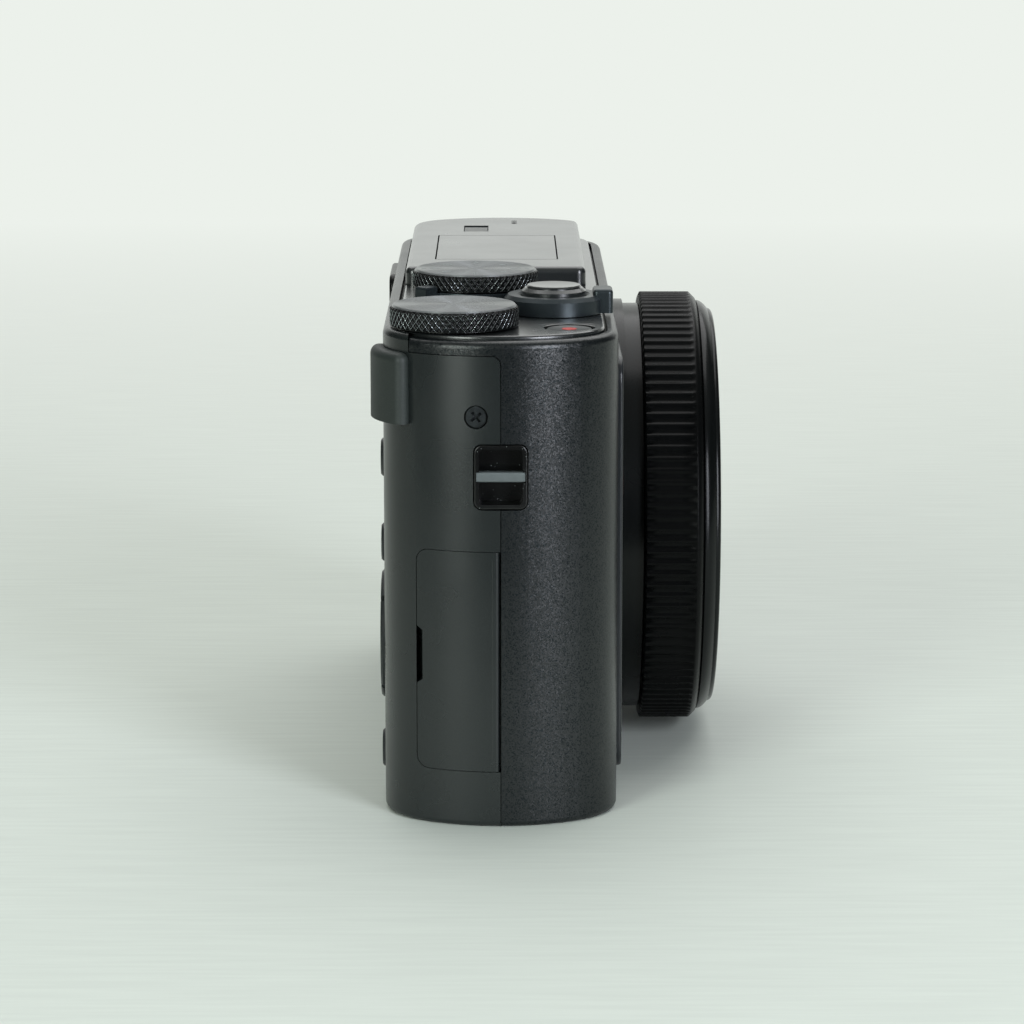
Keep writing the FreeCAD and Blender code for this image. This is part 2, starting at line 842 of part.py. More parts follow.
def make_rear_shell():
    """Rear half of the casing, with the port recess and every opening of the back."""
    hollow = casing_shell("rear_casing", s.plate_top, s.rear_rim_round)
    gap = s.seam_gap / 2
    rear_block = box("rear_block", (-FAR_OUT, FAR_OUT), (gap, REAR + 1), (-1, s.seam_level - gap))
    rear_zone = rounded("rear_zone", rear_block, s.seam_turn, seam_corner(gap, s.seam_level - gap))
    cheek_zone = box("cheek_zone", (-FAR_OUT, FAR_OUT), (s.band_rear + s.seam_gap, REAR + 1),
                     (s.seam_level - 1, s.plate_top + 1))
    half = common("rear_half", hollow, fuse("rear_zones", rear_zone, cheek_zone))
    posts = [key_board_post(f"key_post_{number}", x, z) for number, (x, z) in enumerate(KEY_POSTS)]
    full = fuse("rear_half_full", half, recess_block(), *diopter_ears(), *posts)
    pin_x, pin_y = hinge_line()
    door_inner = casing_block("door_pocket_inner", s.door_thickness + s.door_gap, 0, s.seam_level)
    door_pocket = cut("door_pocket", door_zone("door_pocket_zone", s.door_gap), door_inner)
    openings = [
        door_pocket,
        box("recess", (LEFT - 1, -s.recess_floor), (s.recess_front, s.recess_rear), (s.recess_low, s.recess_high)),
        cylinder("knuckle_room", s.knuckle_radius + 0.2, s.door_low - s.door_gap, s.door_high + s.door_gap, "Z",
                 (pin_x, pin_y)),
        cylinder("pin_room", s.hinge_pin_radius + s.pin_gap, s.door_low - 1.2, s.door_high + 1.2, "Z",
                 (pin_x, pin_y)),
        port_hole("usb_hole", s.usb_z, USB_WIDTH, USB_HEIGHT),
        port_hole("hdmi_hole", s.hdmi_z, HDMI_WIDTH, HDMI_HEIGHT),
        strap_cut("rear_lug_grip", LEFT, 1),
        strap_cut("rear_lug_far", RIGHT, -1),
        button_hole("hole_upper", s.upper_button_z, s.button_radius + s.button_hole_gap),
        button_hole("hole_middle", s.middle_button_z, s.button_radius + s.button_hole_gap),
        button_hole("hole_lower", s.lower_button_z, s.button_radius + s.button_hole_gap),
        button_hole("hole_pad", s.pad_z, s.pad_radius + s.button_hole_gap),
        screen_block("screen_opening", s.screen_gap, INNER_REAR - 1, REAR + 1),
        eyepiece_block("eyepiece_opening", s.screen_gap, INNER_REAR - 1, REAR + 1),
        cylinder("diopter_slot", s.diopter_radius + 0.25, s.diopter_low - 0.2, s.diopter_high + 0.2, "Z",
                 (s.diopter_x, s.diopter_y)),
        cylinder("diopter_bore", s.diopter_shaft_radius + s.pin_gap, s.diopter_low - 2, s.diopter_high + 2, "Z",
                 (s.diopter_x, s.diopter_y)),
    ]
    at = (s.end_screw_y, s.end_screw_z)
    for name, end, inward in (("grip", LEFT, 1), ("far", RIGHT, -1)):
        for part, radius, depth in (("head", s.screw_head_radius + 0.15, s.screw_head_height + 0.25),
                                    ("shank", s.screw_shank_radius + s.shaft_gap, s.wall + 1.5)):
            span = (end - 1, end + depth) if inward > 0 else (end - depth, end + 1)
            openings.append(cylinder(f"end_{part}_{name}", radius, *span, "X", at))
    keep("rear_shell", cut("rear_shell", full, *openings))


KEY_POSTS = ((-30, 38), (-44, 38), (-30, 7.6), (-44, 7.6))
USB_WIDTH, USB_HEIGHT = 3.3, 9.1
HDMI_WIDTH, HDMI_HEIGHT = 3.0, 6.6


def key_board_post(name, x, z):
    """Post on the rear wall that the key board rests against."""
    return cylinder(name, 1.1, s.key_board_front, INNER_REAR + 0.5, "Y", (x, z))


def port_hole(name, z, width, height):
    """Opening in the recess floor for one socket."""
    y = (s.port_y - width / 2, s.port_y + width / 2)
    return rounded_block(name, (-s.recess_floor - 1, -s.recess_floor + 2), y, (z - height / 2, z + height / 2),
                         "X", width / 2 - 0.3)


def screen_block(name, gap, low, high):
    """Plan of the screen's cover glass, grown by a gap."""
    x = (-s.screen_left - gap, s.screen_right + gap)
    z = (s.screen_low - gap, s.screen_high + gap)
    return rounded_block(name, x, (low, high), z, "Y", as_size(1.2) + gap)


def eyepiece_block(name, gap, low, high):
    """Plan of the eyepiece frame, grown by a gap."""
    x = (s.eyepiece_left - gap, s.eyepiece_right + gap)
    z = (s.eyepiece_low - gap, s.eyepiece_high + gap)
    return rounded_block(name, x, (low, high), z, "Y", as_size(2) + gap)


def make_top_plate():
    """Top plate, sunk in the casing's rim, with the bushes that the dials and levers turn on."""
    inset = s.wall + s.rim_gap
    outer = casing_block("top_plate_blank", inset, s.ledge_level, s.plate_top)
    soft = rounded("top_plate_soft", outer, s.plate_round, at_level(s.plate_top))
    collar_at = (-s.collar_x, -s.collar_y)
    mode_at = (-s.mode_dial_x, s.mode_dial_y)
    thumb_at = (-s.thumb_dial_x, s.thumb_dial_y)
    movie_at = (-s.movie_x, -s.movie_y)
    collar_bush = cylinder("collar_bush", s.collar_bush_radius, s.ledge_level, s.plate_top + s.collar_web - 0.1,
                           "Z", collar_at)
    lever_bush = cylinder("lever_bush", s.lever_bush_radius, s.ledge_level, s.lever_top, "Z", mode_at)
    posts = [cylinder(f"top_post_{number}", 1.5, s.top_board_top, s.plate_top - 0.5, "Z", at)
             for number, at in enumerate(TOP_POSTS)]
    full = fuse("top_plate_full", soft, collar_bush, lever_bush, *posts)
    well_x = (as_size(s.lid_left) - s.lid_gap - s.well_wall - 0.2, s.lid_right + s.lid_gap + s.well_wall + 0.2)
    well_y = (-s.lid_front - s.lid_gap - s.well_wall - 0.2, s.lid_rear + s.lid_gap + s.well_wall + 0.2)
    through = (s.ledge_level - 1, s.mode_dial_low)
    dish_low = s.plate_top - s.movie_dish_depth
    openings = [
        cylinder("collar_bore_hole", s.shutter_stem_radius + s.shaft_gap, *through, "Z", collar_at),
        cylinder("mode_bore_hole", s.mode_shaft_radius + s.shaft_gap, *through, "Z", mode_at),
        cylinder("thumb_bore_hole", s.thumb_shaft_radius + s.shaft_gap, *through, "Z", thumb_at),
        cylinder("movie_hole", s.movie_radius + s.button_hole_gap, *through, "Z", movie_at),
        cone("movie_dish", s.movie_radius + 0.3, s.movie_dish_radius, dish_low, s.plate_top, "Z", movie_at),
        box("well_opening", well_x, well_y, (s.ledge_level - 1, s.plate_top + 1)),
    ]
    keep("top_plate", cut("top_plate", full, *openings))


TOP_POSTS = ((-31, 9), (-13, -9), (-46, -3.4))


def well_span(gap):
    """Plan of the flash well, grown by a gap."""
    return (s.lid_left - gap, s.lid_right + gap), (-s.lid_front - gap, s.lid_rear + gap)


def release_span(room):
    """Plan of the release slider, with the room it slides in."""
    x = (s.release_x - room, s.release_x + s.release_length + s.release_travel * (1 if room else 0) + room)
    return x, (s.release_y - room, s.release_y + s.release_width + room)


def make_top_housing():
    """Raised housing on the top plate, with the well that the flash drops into."""
    plan = casing_block("housing_plan", s.housing_inset, s.plate_top, s.housing_top)
    span = box("housing_span", (-s.housing_left, FAR_OUT), (-s.housing_front, FAR_OUT),
               (s.plate_top, s.housing_top))
    block = common("housing_blank", plan, span)
    standing = rounded("housing_corners", block, s.housing_corner, housing_corner)
    soft = rounded("housing_soft", standing, s.housing_round, at_level(s.housing_top))
    outer_x, outer_y = well_span(s.lid_gap + s.well_wall)
    inner_x, inner_y = well_span(s.lid_gap)
    tub = box("well_outer", outer_x, outer_y, (s.well_low, s.housing_top - 0.5))
    hollow = box("well_inner", inner_x, inner_y, (s.well_low + s.well_floor, s.housing_top + 1))
    shaft_at = (s.flash_pivot_y, s.flash_pivot_z)
    shaft_room = cylinder("flash_shaft_room", s.flash_shaft_radius + s.pin_gap, inner_x[0] - 0.8,
                          inner_x[1] + 0.8, "X", shaft_at)
    release_x, release_y = release_span(0.12)
    release_room = box("release_room", release_x, release_y,
                       (s.housing_top - s.release_depth - s.release_sink, s.housing_top + 1))
    holes = [cylinder(f"sound_hole_{number}", 0.45, s.housing_top - 1, s.housing_top + 1, "Z", (46 + x, y))
             for number, (x, y) in enumerate(((-1.6, -2), (0, -2), (1.6, -2)))]
    full = fuse("housing_full", soft, tub)
    keep("top_housing", cut("top_housing", full, hollow, shaft_room, release_room, *holes))


def housing_corner(edge):
    """Test for the housing's upright edges beside the mode dial and at the far end of its front face."""
    middle = edge.CenterOfMass
    near = middle.x < 0.01 - s.housing_left.value
    front = middle.y < 0.01 - s.housing_front.value
    return along("Z")(edge) and (near or front)


def make_base_plate():
    """Base cover with the tripod socket's seat, the battery hatch's opening and countersunk screw holes."""
    inset = s.lip_width + s.plate_gap
    outer = casing_block("base_plate_outer", inset, 0, s.wall + s.plate_gap)
    flange = casing_block("base_plate_flange", s.wall + s.plate_gap, s.wall + s.plate_gap / 2,
                          s.wall + s.base_flange)
    full = fuse("base_plate_full", outer, flange)
    hatch_room = hatch_block("hatch_room", s.hatch_gap, -1, s.hatch_thickness + s.hatch_gap)
    bay_x = (-s.card_left - s.bay_gap - 0.2, -s.hatch_right - s.hatch_gap - 1.2)
    bay_way = box("bay_way", bay_x, (-s.battery_front - s.bay_gap, s.hatch_rear - 0.6), (-1, s.wall + 2))
    limit = casing_block("bay_way_limit", s.hatch_inset, -1, s.wall + 2)
    hinge_x, hinge_z = hatch_axis()
    hatch_y = hatch_span()
    openings = [
        hatch_room,
        common("bay_way_in_plan", bay_way, limit),
        cylinder("hatch_knuckle_room", s.knuckle_radius + 0.2, hatch_y[0] - s.hatch_gap,
                 hatch_y[1] + s.hatch_gap, "Y", (hinge_x, hinge_z)),
        cylinder("hatch_pin_room", s.hinge_pin_radius + s.pin_gap, hatch_y[0] - 0.85, hatch_y[1] + 1.3, "Y",
                 (hinge_x, hinge_z)),
        cylinder("socket_hole", s.socket_radius + s.shaft_gap, -1, 4, "Z", (0, 0)),
    ]
    for number, at in enumerate(BASE_SCREWS):
        openings.append(cylinder(f"base_head_{number}", s.screw_head_radius + 0.15, -1,
                                 s.screw_head_height + 0.15, "Z", at))
        openings.append(screw_hole(f"base_shank_{number}", -1, 4, "Z", at))
    keep("base_plate", cut("base_plate", full, *openings))


BASE_SCREWS = ((-14, FRONT + s.post_depth), (38, FRONT + s.post_depth), (-14, 5.4), (32, 5.4))


def hatch_span():
    """The hatch's reach across the base."""
    return -s.battery_front - 0.5, s.hatch_rear


def hatch_block(name, gap, low, high):
    """Plan of the battery hatch, grown by a gap."""
    front, rear = hatch_span()
    plan = casing_block(name + "_plan", s.hatch_inset - gap, low, high)
    span = box(name + "_span", (-FAR_OUT, -s.hatch_right + gap), (front - gap, rear + gap), (low, high))
    return common(name, plan, span)


def hatch_axis():
    """Where the hatch's pin lies, seen from the front."""
    return -s.hatch_right - s.knuckle_radius, as_size(s.knuckle_radius)


def latch_place():
    """The latch's plan on the hatch at rest."""
    x = -s.grip_end + s.hatch_inset + 2.4
    middle = as_size(-3.5)
    return (x, x + s.latch_length), (middle - s.latch_width / 2, middle + s.latch_width / 2)


def make_hatch():
    """Battery hatch with its knuckle, and the latch that slides in it."""
    blank = hatch_block("hatch_blank", 0, 0, s.hatch_thickness)
    hinge_x, hinge_z = hatch_axis()
    front, rear = hatch_span()
    soft = rounded("hatch_soft", blank, s.hatch_edge_round, hatch_edge)
    knuckle = cylinder("hatch_knuckle", s.knuckle_radius, front + 1.4, rear - 1.4, "Y", (hinge_x, hinge_z))
    pin_room = cylinder("hatch_pin_bore", s.hinge_pin_radius + s.pin_gap, front - 1, rear + 1, "Y",
                        (hinge_x, hinge_z))
    x, y = latch_place()
    slot = box("latch_slot", (x[0] - 0.1, x[1] + s.latch_travel + 0.1), (y[0] - 0.1, y[1] + 0.1),
               (-1, s.hatch_thickness + 1))
    keep("battery_door", cut("battery_door", fuse("hatch_full", soft, knuckle), pin_room, slot))
    body = rounded_block("latch_body", (x[0], x[1]), y, (0.1, s.hatch_thickness + 0.1), "Z", 0.8)
    grooves = [box(f"latch_groove_{number}", (x[0] + 1.2 + number * 1.1, x[0] + 1.7 + number * 1.1),
                   (y[0] + 1.2, y[1] - 1.2), (-1, 0.35)) for number in range(3)]
    flange = box("latch_flange", (x[0] + 1.7, x[1] + 0.3), (y[0] - 0.4, y[1] + 0.4),
                 (s.hatch_thickness + 0.05, s.hatch_thickness + 0.55))
    keep("battery_latch", cut("battery_latch", fuse("latch_whole", body, flange), *grooves))


def make_hinge_pins():
    """Pins of the battery door and of the port door, in one node."""
    front, rear = hatch_span()
    lying = cylinder("battery_door_pin", s.hinge_pin_radius, front - 0.6, rear + 1.1, "Y", hatch_axis())
    standing = cylinder("port_door_pin", s.hinge_pin_radius, s.door_low - 1.1, s.door_high + 1.1, "Z", hinge_line())
    keep("hinge_pins", fuse("hinge_pins", lying, standing))


def hatch_edge(edge):
    """Test for the hatch's lower edge along the hinge."""
    middle = edge.CenterOfMass
    along_hinge = edge.BoundBox.XLength < 0.01 and edge.BoundBox.YLength > 5
    return along_hinge and abs(middle.z) < 0.01 and middle.x > -(s.hatch_right.value + 0.1)


def make_front_trim():
    """Front plate round the lens and the autofocus lamp's window."""
    y = (FRONT - s.trim_proud, FRONT)
    blank = rounded_block("trim_blank", (-s.trim_left, s.trim_right), y, (s.trim_low, s.trim_high), "Y",
                          s.trim_round)
    soft = rounded("trim_soft", blank, 0.35, at_level(y[0], "y"))
    lens_room = cylinder("trim_lens_room", s.base_step_radius + 0.3, FRONT - 2, FRONT + 1, "Y", (0, s.lens_level))
    lamp_room = cylinder("trim_lamp_room", s.lamp_stem_radius + s.shaft_gap, FRONT - 2, FRONT + 1, "Y",
                         (-s.lamp_x, s.lamp_z))
    whole = cut("trim_whole", soft, lens_room, lamp_room)
    grip_side = box("grip_side", (-FAR_OUT, 0), (FRONT - 2, FRONT + 1), (0, s.plate_top))
    far_side = box("far_side", (0, FAR_OUT), (FRONT - 2, FRONT + 1), (0, s.plate_top))
    keep("front_plate_grip", common("front_plate_grip", whole, grip_side))
    keep("front_plate_far", common("front_plate_far", whole, far_side))
    face = FRONT - s.trim_proud
    lamp = [
        (0, face - s.lamp_proud),
        (s.lamp_radius * 0.55, face - s.lamp_proud * 0.85),
        (s.lamp_radius * 0.88, face - s.lamp_proud * 0.45),
        (s.lamp_radius, face),
        (s.lamp_stem_radius, face),
        (s.lamp_stem_radius, INNER_FRONT + 0.4),
        (0, INNER_FRONT + 0.4),
    ]
    keep("lamp_window", turned("lamp_window", lamp, "Y", (-s.lamp_x, s.lamp_z)))


def make_lens():
    """Fixed lens tube, control ring, bezel, two telescoping barrels and what they carry."""
    at = (0, s.lens_level)
    fixed = [
        (s.base_step_radius, FRONT), (s.base_step_radius, -s.base_step_front),
        (s.base_barrel_radius, -s.base_step_front), (s.base_barrel_radius, -s.base_barrel_front),
        (s.ring_seat_radius, -s.base_barrel_front), (s.ring_seat_radius, -s.tube_front),
        (s.tube_bore, -s.tube_front), (s.tube_bore, s.tube_rear - 1),
        (s.aperture_radius, s.tube_rear - 1), (s.aperture_radius, s.tube_rear),
        (s.tube_radius, s.tube_rear), (s.tube_radius, FRONT),
    ]
    tube = turned("lens_tube", fixed, "Y", at)
    rods = [cylinder(f"guide_rod_{number}", s.rod_radius, -s.rod_front, s.tube_rear - 0.5, "Y", (x, s.lens_level))
            for number, x in enumerate((-s.rod_reach, s.rod_reach))]
    keep("lens_base", fuse("lens_base", tube, *rods))
    make_control_ring(at)
    bezel = [
        (s.bezel_bore, -s.tube_front), (s.bezel_radius, -s.tube_front), (s.bezel_radius, -s.bezel_front + 0.5),
        (s.bezel_radius - 0.5, -s.bezel_front), (s.bezel_bore + 0.7, -s.bezel_front),
        (s.bezel_bore, -s.bezel_front + 0.9),
    ]
    keep("lens_bezel", turned("lens_bezel", bezel, "Y", at))
    outer = [
        (s.outer_barrel_bore, -s.outer_barrel_front), (s.outer_barrel_radius - 0.3, -s.outer_barrel_front),
        (s.outer_barrel_radius, -s.outer_barrel_front + 0.3), (s.outer_barrel_radius, -s.outer_barrel_rear),
        (s.outer_barrel_bore, -s.outer_barrel_rear),
    ]
    keep("outer_barrel", turned("outer_barrel", outer, "Y", at))
    make_inner_barrel(at)
    unit = [
        (s.unit_bore, -s.unit_front), (s.unit_radius, -s.unit_front), (s.unit_radius, -s.unit_rear),
        (s.unit_bore, -s.unit_rear),
    ]
    keep("shutter_unit", turned("shutter_unit", unit, "Y", at))
    make_focus_group(at)


def make_control_ring(at):
    """Ring round the lens with straight ribs along the axis."""
    profile = [
        (s.ring_bore, -s.ring_rear), (s.ring_radius - 0.4, -s.ring_rear), (s.ring_radius, -s.ring_rear - 0.4),
        (s.ring_radius, -s.ring_front + s.ring_chamfer),
        (s.ring_radius - s.ring_chamfer, -s.ring_front), (s.ring_bore, -s.ring_front),
    ]
    keep("control_ring", turned("control_ring", profile, "Y", at))


def make_inner_barrel(at):
    """Front barrel: window, blade chamber, the cell of the front element and the blades with their pins."""
    front = -s.inner_barrel_front
    wall_back = front + s.front_wall
    chamber_back = wall_back + s.blade_chamber
    cell_back = chamber_back + s.cell_thickness
    profile = [
        (s.window_radius, wall_back - 0.5), (s.window_radius + 0.6, front),
        (s.inner_barrel_radius - 0.5, front), (s.inner_barrel_radius, front + 0.5),
        (s.inner_barrel_radius, -s.inner_barrel_rear), (s.inner_barrel_bore, -s.inner_barrel_rear),
        (s.inner_barrel_bore, cell_back), (s.cell_wall_radius, cell_back),
        (s.cell_wall_radius, cell_back + s.cell_length), (s.cell_bore, cell_back + s.cell_length),
        (s.cell_bore, cell_back - 0.2), (s.cell_mouth, cell_back - 0.2), (s.cell_mouth, chamber_back),
        (s.inner_barrel_bore, chamber_back), (s.inner_barrel_bore, wall_back), (s.window_radius, wall_back),
    ]
    shell = turned("inner_barrel_shell", profile, "Y", at)
    pins = [cylinder(f"blade_pin_{number}", s.blade_pin_radius, wall_back - 0.3, chamber_back + 0.3, "Y",
                     (x, s.lens_level)) for number, x in enumerate((-s.blade_pivot, s.blade_pivot))]
    keep("inner_barrel", fuse("inner_barrel", shell, *pins))
    lens = cylinder("element_blank", s.element_radius, -s.element_front, -s.element_rear, "Y", at)
    ball = DOC.addObject("Part::Sphere", "element_front_curve")
    bind(ball, "Radius", s.element_curve)
    place(ball, 0, -s.element_front + s.element_curve, s.lens_level, Rotation())
    keep("front_element", common("front_element", lens, ball))
    middle = wall_back + s.blade_chamber / 2
    span = (middle - s.blade_thickness / 2, middle + s.blade_thickness / 2)
    make_blade("barrier_blade_upper", 1, span)
    make_blade("barrier_blade_lower", -1, span)


def make_blade(name, side, span):
    """One leaf of the lens barrier: a half disc on an arm that swings about its pin."""
    level = s.lens_level
    pivot_x = s.blade_pivot * -side
    disc = cylinder(name + "_disc", s.blade_radius, *span, "Y", (0, level))
    edge = level + s.blade_gap / 2 * side
    edge_far = level + (s.blade_radius + 2) * side
    z = (edge, edge_far) if side > 0 else (edge_far, edge)
    leaf = common(name + "_leaf", disc, box(name + "_half", (-FAR_OUT, FAR_OUT), span, z))
    eye = cylinder(name + "_eye", s.blade_eye_radius, *span, "Y", (pivot_x, level))
    body, sketch = new_body(name + "_arm", "XY_Plane")
    draw_polygon(sketch, [
        (pivot_x, -edge),
        (as_size(0), -edge),
        (s.blade_radius * -0.62 * side, -(level + s.blade_radius * 0.78 * side)),
        (pivot_x, -(level + s.blade_eye_radius * side)),
    ])
    pad(body, sketch, s.blade_thickness)
    place(body, 0, span[0], 0, SQUARE_TO["Y"])
    hole = cylinder(name + "_hole", s.blade_pin_radius + s.pin_gap, span[0] - 1, span[1] + 1, "Y",
                    (pivot_x, level))
    keep(name, cut(name, fuse(name + "_whole", leaf, eye, body), hole))


def make_focus_group(at):
    """Focusing cell with two ears that run on the guide rods, and its glass."""
    ring = cylinder("focus_ring", s.focus_radius, -s.focus_front, s.focus_rear, "Y", at)
    ears = box("focus_ears", (-s.rod_reach - 2, s.rod_reach + 2), (-s.focus_front + 0.8, s.focus_rear - 0.8),
               (s.lens_level - 2, s.lens_level + 2))
    bores = [cylinder(f"focus_ear_bore_{number}", s.rod_radius + s.pin_gap, -s.focus_front - 1, s.focus_rear + 1,
                      "Y", (x, s.lens_level)) for number, x in enumerate((-s.rod_reach, s.rod_reach))]
    bore = cylinder("focus_bore", s.focus_bore, -s.focus_front - 1, s.focus_rear + 1, "Y", at)
    cell = cut("focus_cell", fuse("focus_body", ring, ears), bore, *bores)
    glass = cylinder("focus_glass", s.focus_bore, -s.focus_front + 0.3, s.focus_rear - 0.3, "Y", at)
    keep("focus_group", fuse("focus_group", cell, glass))


def make_dials():
    """Thumb dial, mode dial and the power lever under it."""
    gap = s.plate_top + s.dial_gap
    shaft_low = s.top_board_top + 1
    thumb = [
        (0, shaft_low), (s.thumb_shaft_radius, shaft_low), (s.thumb_shaft_radius, gap),
        (s.thumb_dial_radius - 0.3, gap), (s.thumb_dial_radius, gap + 0.3),
        (s.thumb_dial_radius, s.thumb_dial_top - s.dial_chamfer),
        (s.thumb_dial_radius - s.dial_chamfer, s.thumb_dial_top), (0, s.thumb_dial_top),
    ]
    keep("thumb_dial", turned("thumb_dial", thumb, "Z", (-s.thumb_dial_x, s.thumb_dial_y)))
    mode = [
        (0, shaft_low), (s.mode_shaft_radius, shaft_low), (s.mode_shaft_radius, s.mode_dial_low),
        (s.mode_dial_radius - 0.3, s.mode_dial_low), (s.mode_dial_radius, s.mode_dial_low + 0.3),
        (s.mode_dial_radius, s.mode_dial_top - 0.6), (s.mode_dial_radius - 0.6, s.mode_dial_top),
        (0, s.mode_dial_top),
    ]
    mode_at = (-s.mode_dial_x, s.mode_dial_y)
    keep("mode_dial", turned("mode_dial", mode, "Z", mode_at))
    make_power_lever(mode_at)


def polar_box(name, at, angle, reach, width, z):
    """A block that points away from a centre at an angle about the Z axis."""
    turn = math.radians(angle)
    item = DOC.addObject("Part::Box", name)
    bind(item, "Length", as_size(reach[1]) - reach[0])
    bind(item, "Width", width)
    bind(item, "Height", as_size(z[1]) - z[0])
    x = as_size(at[0]) + as_size(reach[0]) * math.cos(turn) + as_size(width) / 2 * math.sin(turn)
    y = as_size(at[1]) + as_size(reach[0]) * math.sin(turn) - as_size(width) / 2 * math.cos(turn)
    place(item, x, y, z[0], Rotation(Vector(0, 0, 1), angle))
    return item


def make_power_lever(at):
    """Ring that turns on its bush under the mode dial, with the tab that the thumb pushes."""
    low = s.plate_top + s.lever_lift
    ring = cylinder("lever_ring", s.lever_radius, low, s.lever_top, "Z", at)
    tab = polar_box("lever_tab", at, SIZES["lever_tab_angle"], (s.mode_dial_radius + 0.25, s.lever_tab_reach),
                    s.lever_tab_width, (low, s.lever_tab_top))
    neck = polar_box("lever_neck", at, SIZES["lever_tab_angle"], (s.lever_bush_radius + 1, s.lever_tab_reach - 1),
                     s.lever_tab_width, (low, s.lever_top))
    bore = cylinder("lever_bore", s.lever_bush_radius + s.pin_gap, s.plate_top - 1, s.mode_dial_top, "Z", at)
    plain = cut("lever_plain", fuse("lever_whole", ring, tab, neck), bore)
    keep("power_lever", rounded("power_lever", plain, 0.4, at_level(s.lever_tab_top)))


def make_zoom_lever():
    """Collar round the shutter button with its finger tab, and the button itself."""
    at = (-s.collar_x, -s.collar_y)
    low = s.plate_top + s.lever_lift
    collar = [
        (s.collar_bush_radius + s.pin_gap, low), (s.collar_radius, low),
        (s.collar_radius, s.collar_top - 0.5), (s.collar_radius - 0.5, s.collar_top),
        (s.collar_bore + 0.3, s.collar_top), (s.collar_bore, s.collar_top - 0.3),
        (s.collar_bore, s.plate_top + s.collar_web), (s.collar_bush_radius + s.pin_gap, s.plate_top + s.collar_web),
    ]
    ring = turned("collar_ring", collar, "Z", at)
    half = s.collar_tab_width / 2
    tab = rounded_block("collar_tab", (-s.collar_x - half, -s.collar_x + half),
                        (-s.collar_tab_front, -s.collar_tab_inner), (low, s.collar_tab_top), "Z", 0.6)
    soft = rounded("collar_tab_soft", tab, 0.5, at_level(s.collar_tab_top))
    keep("zoom_lever", fuse("zoom_lever", ring, soft))
    dish = s.shutter_top_radius
    button = [
        (0, s.top_board_top + 1.15), (s.shutter_stem_radius, s.top_board_top + 1.15),
        (s.shutter_stem_radius, s.shutter_skirt_low), (s.shutter_skirt_radius, s.shutter_skirt_low),
        (s.shutter_skirt_radius, s.shutter_top - 0.6), (s.shutter_skirt_radius - 0.3, s.shutter_top - 0.3),
        (dish + 0.2, s.shutter_top), (dish - 0.2, s.shutter_top - 0.05), (dish * 0.6, s.shutter_top - 0.22),
        (dish * 0.3, s.shutter_top - 0.32), (0, s.shutter_top - 0.35),
    ]
    keep("shutter_button", turned("shutter_button", button, "Z", at))


def make_movie_button():
    """Small button in a shallow dish of the top plate."""
    flange = s.movie_radius + 0.4
    profile = [
        (0, s.top_board_top + 0.6), (1.1, s.top_board_top + 0.6), (1.1, s.ledge_level - 0.8),
        (flange, s.ledge_level - 0.8), (flange, s.ledge_level - 0.2), (s.movie_radius, s.ledge_level - 0.2),
        (s.movie_radius, s.movie_top - 0.2), (s.movie_radius - 0.2, s.movie_top), (0, s.movie_top),
    ]
    keep("movie_button", turned("movie_button", profile, "Z", (-s.movie_x, -s.movie_y)))


def make_rear_button(name, z):
    """Round button with a flange behind the rear wall."""
    top = REAR + s.button_proud
    profile = [
        (0, s.key_board_front + 0.6), (s.button_flange, s.key_board_front + 0.6),
        (s.button_flange, INNER_REAR - 0.15), (s.button_radius, INNER_REAR - 0.15),
        (s.button_radius, top - 0.25), (s.button_radius - 0.25, top), (0, top),
    ]
    keep(name, turned(name, profile, "Y", (-s.column_x, z)))


def make_pad_key(name, start):
    """One of the four keys of the control pad: a sector of a turned ring with a wider foot."""
    at = (-s.column_x, s.pad_z)
    low, top = s.key_board_front + 0.6, REAR + s.pad_proud
    ring = [
        (s.pad_bore, low), (s.pad_flange, low), (s.pad_flange, INNER_REAR - 0.15),
        (s.pad_radius, INNER_REAR - 0.15), (s.pad_radius, top - 0.25), (s.pad_radius - 0.25, top),
        (s.pad_bore + 0.25, top), (s.pad_bore, top - 0.25),
    ]
    sector = cylinder(name + "_sector", s.pad_flange + 1, low, top, "Y", at, start, s.pad_key_angle)
    keep(name, common(name, turned(name + "_ring", ring, "Y", at), sector))


def make_rear_controls():
    """Control column of the back: three buttons, the four-way pad and its centre button."""
    make_rear_button("rear_button_upper", s.upper_button_z)
    make_rear_button("rear_button_middle", s.middle_button_z)
    make_rear_button("rear_button_lower", s.lower_button_z)
    for number, side in enumerate(("left", "down", "right", "up")):
        make_pad_key("pad_key_" + side, 90 * number - SIZES["pad_key_angle"] / 2)
    top = REAR + s.button_proud
    centre = [
        (0, s.key_board_front + 0.6), (s.centre_button_radius, s.key_board_front + 0.6),
        (s.centre_button_radius, top - 0.3), (s.centre_button_radius - 0.3, top), (0, top),
    ]
    keep("pad_centre_button", turned("pad_centre_button", centre, "Y", (-s.column_x, s.pad_z)))
    board = box("key_board", (-s.column_x - 9, -s.screen_left - s.screen_margin - 0.1),
                (s.key_board_front - s.board_thickness, s.key_board_front), (3.6, s.upper_button_z + 3.6))
    return board


def make_thumb_rest():
    """Rubber rest that wraps the rear corner of the grip end."""
    z = (s.rest_low, s.rest_high)
    outer = casing_block("rest_outer", -s.rest_proud, *z)
    span = box("rest_span", (-FAR_OUT, -s.rest_inner), (s.band_rear, FAR_OUT), z)
    standing = rounded("rest_standing", common("rest_blank", outer, span), s.rest_round, rest_end)
    soft = rounded("rest_soft", standing, s.rest_round, at_level(s.rest_high))
    inner = casing_block("rest_inner_face", -(s.shaft_gap), s.rest_low - 1, s.rest_high + 1)
    keep("thumb_rest", cut("thumb_rest", soft, inner))


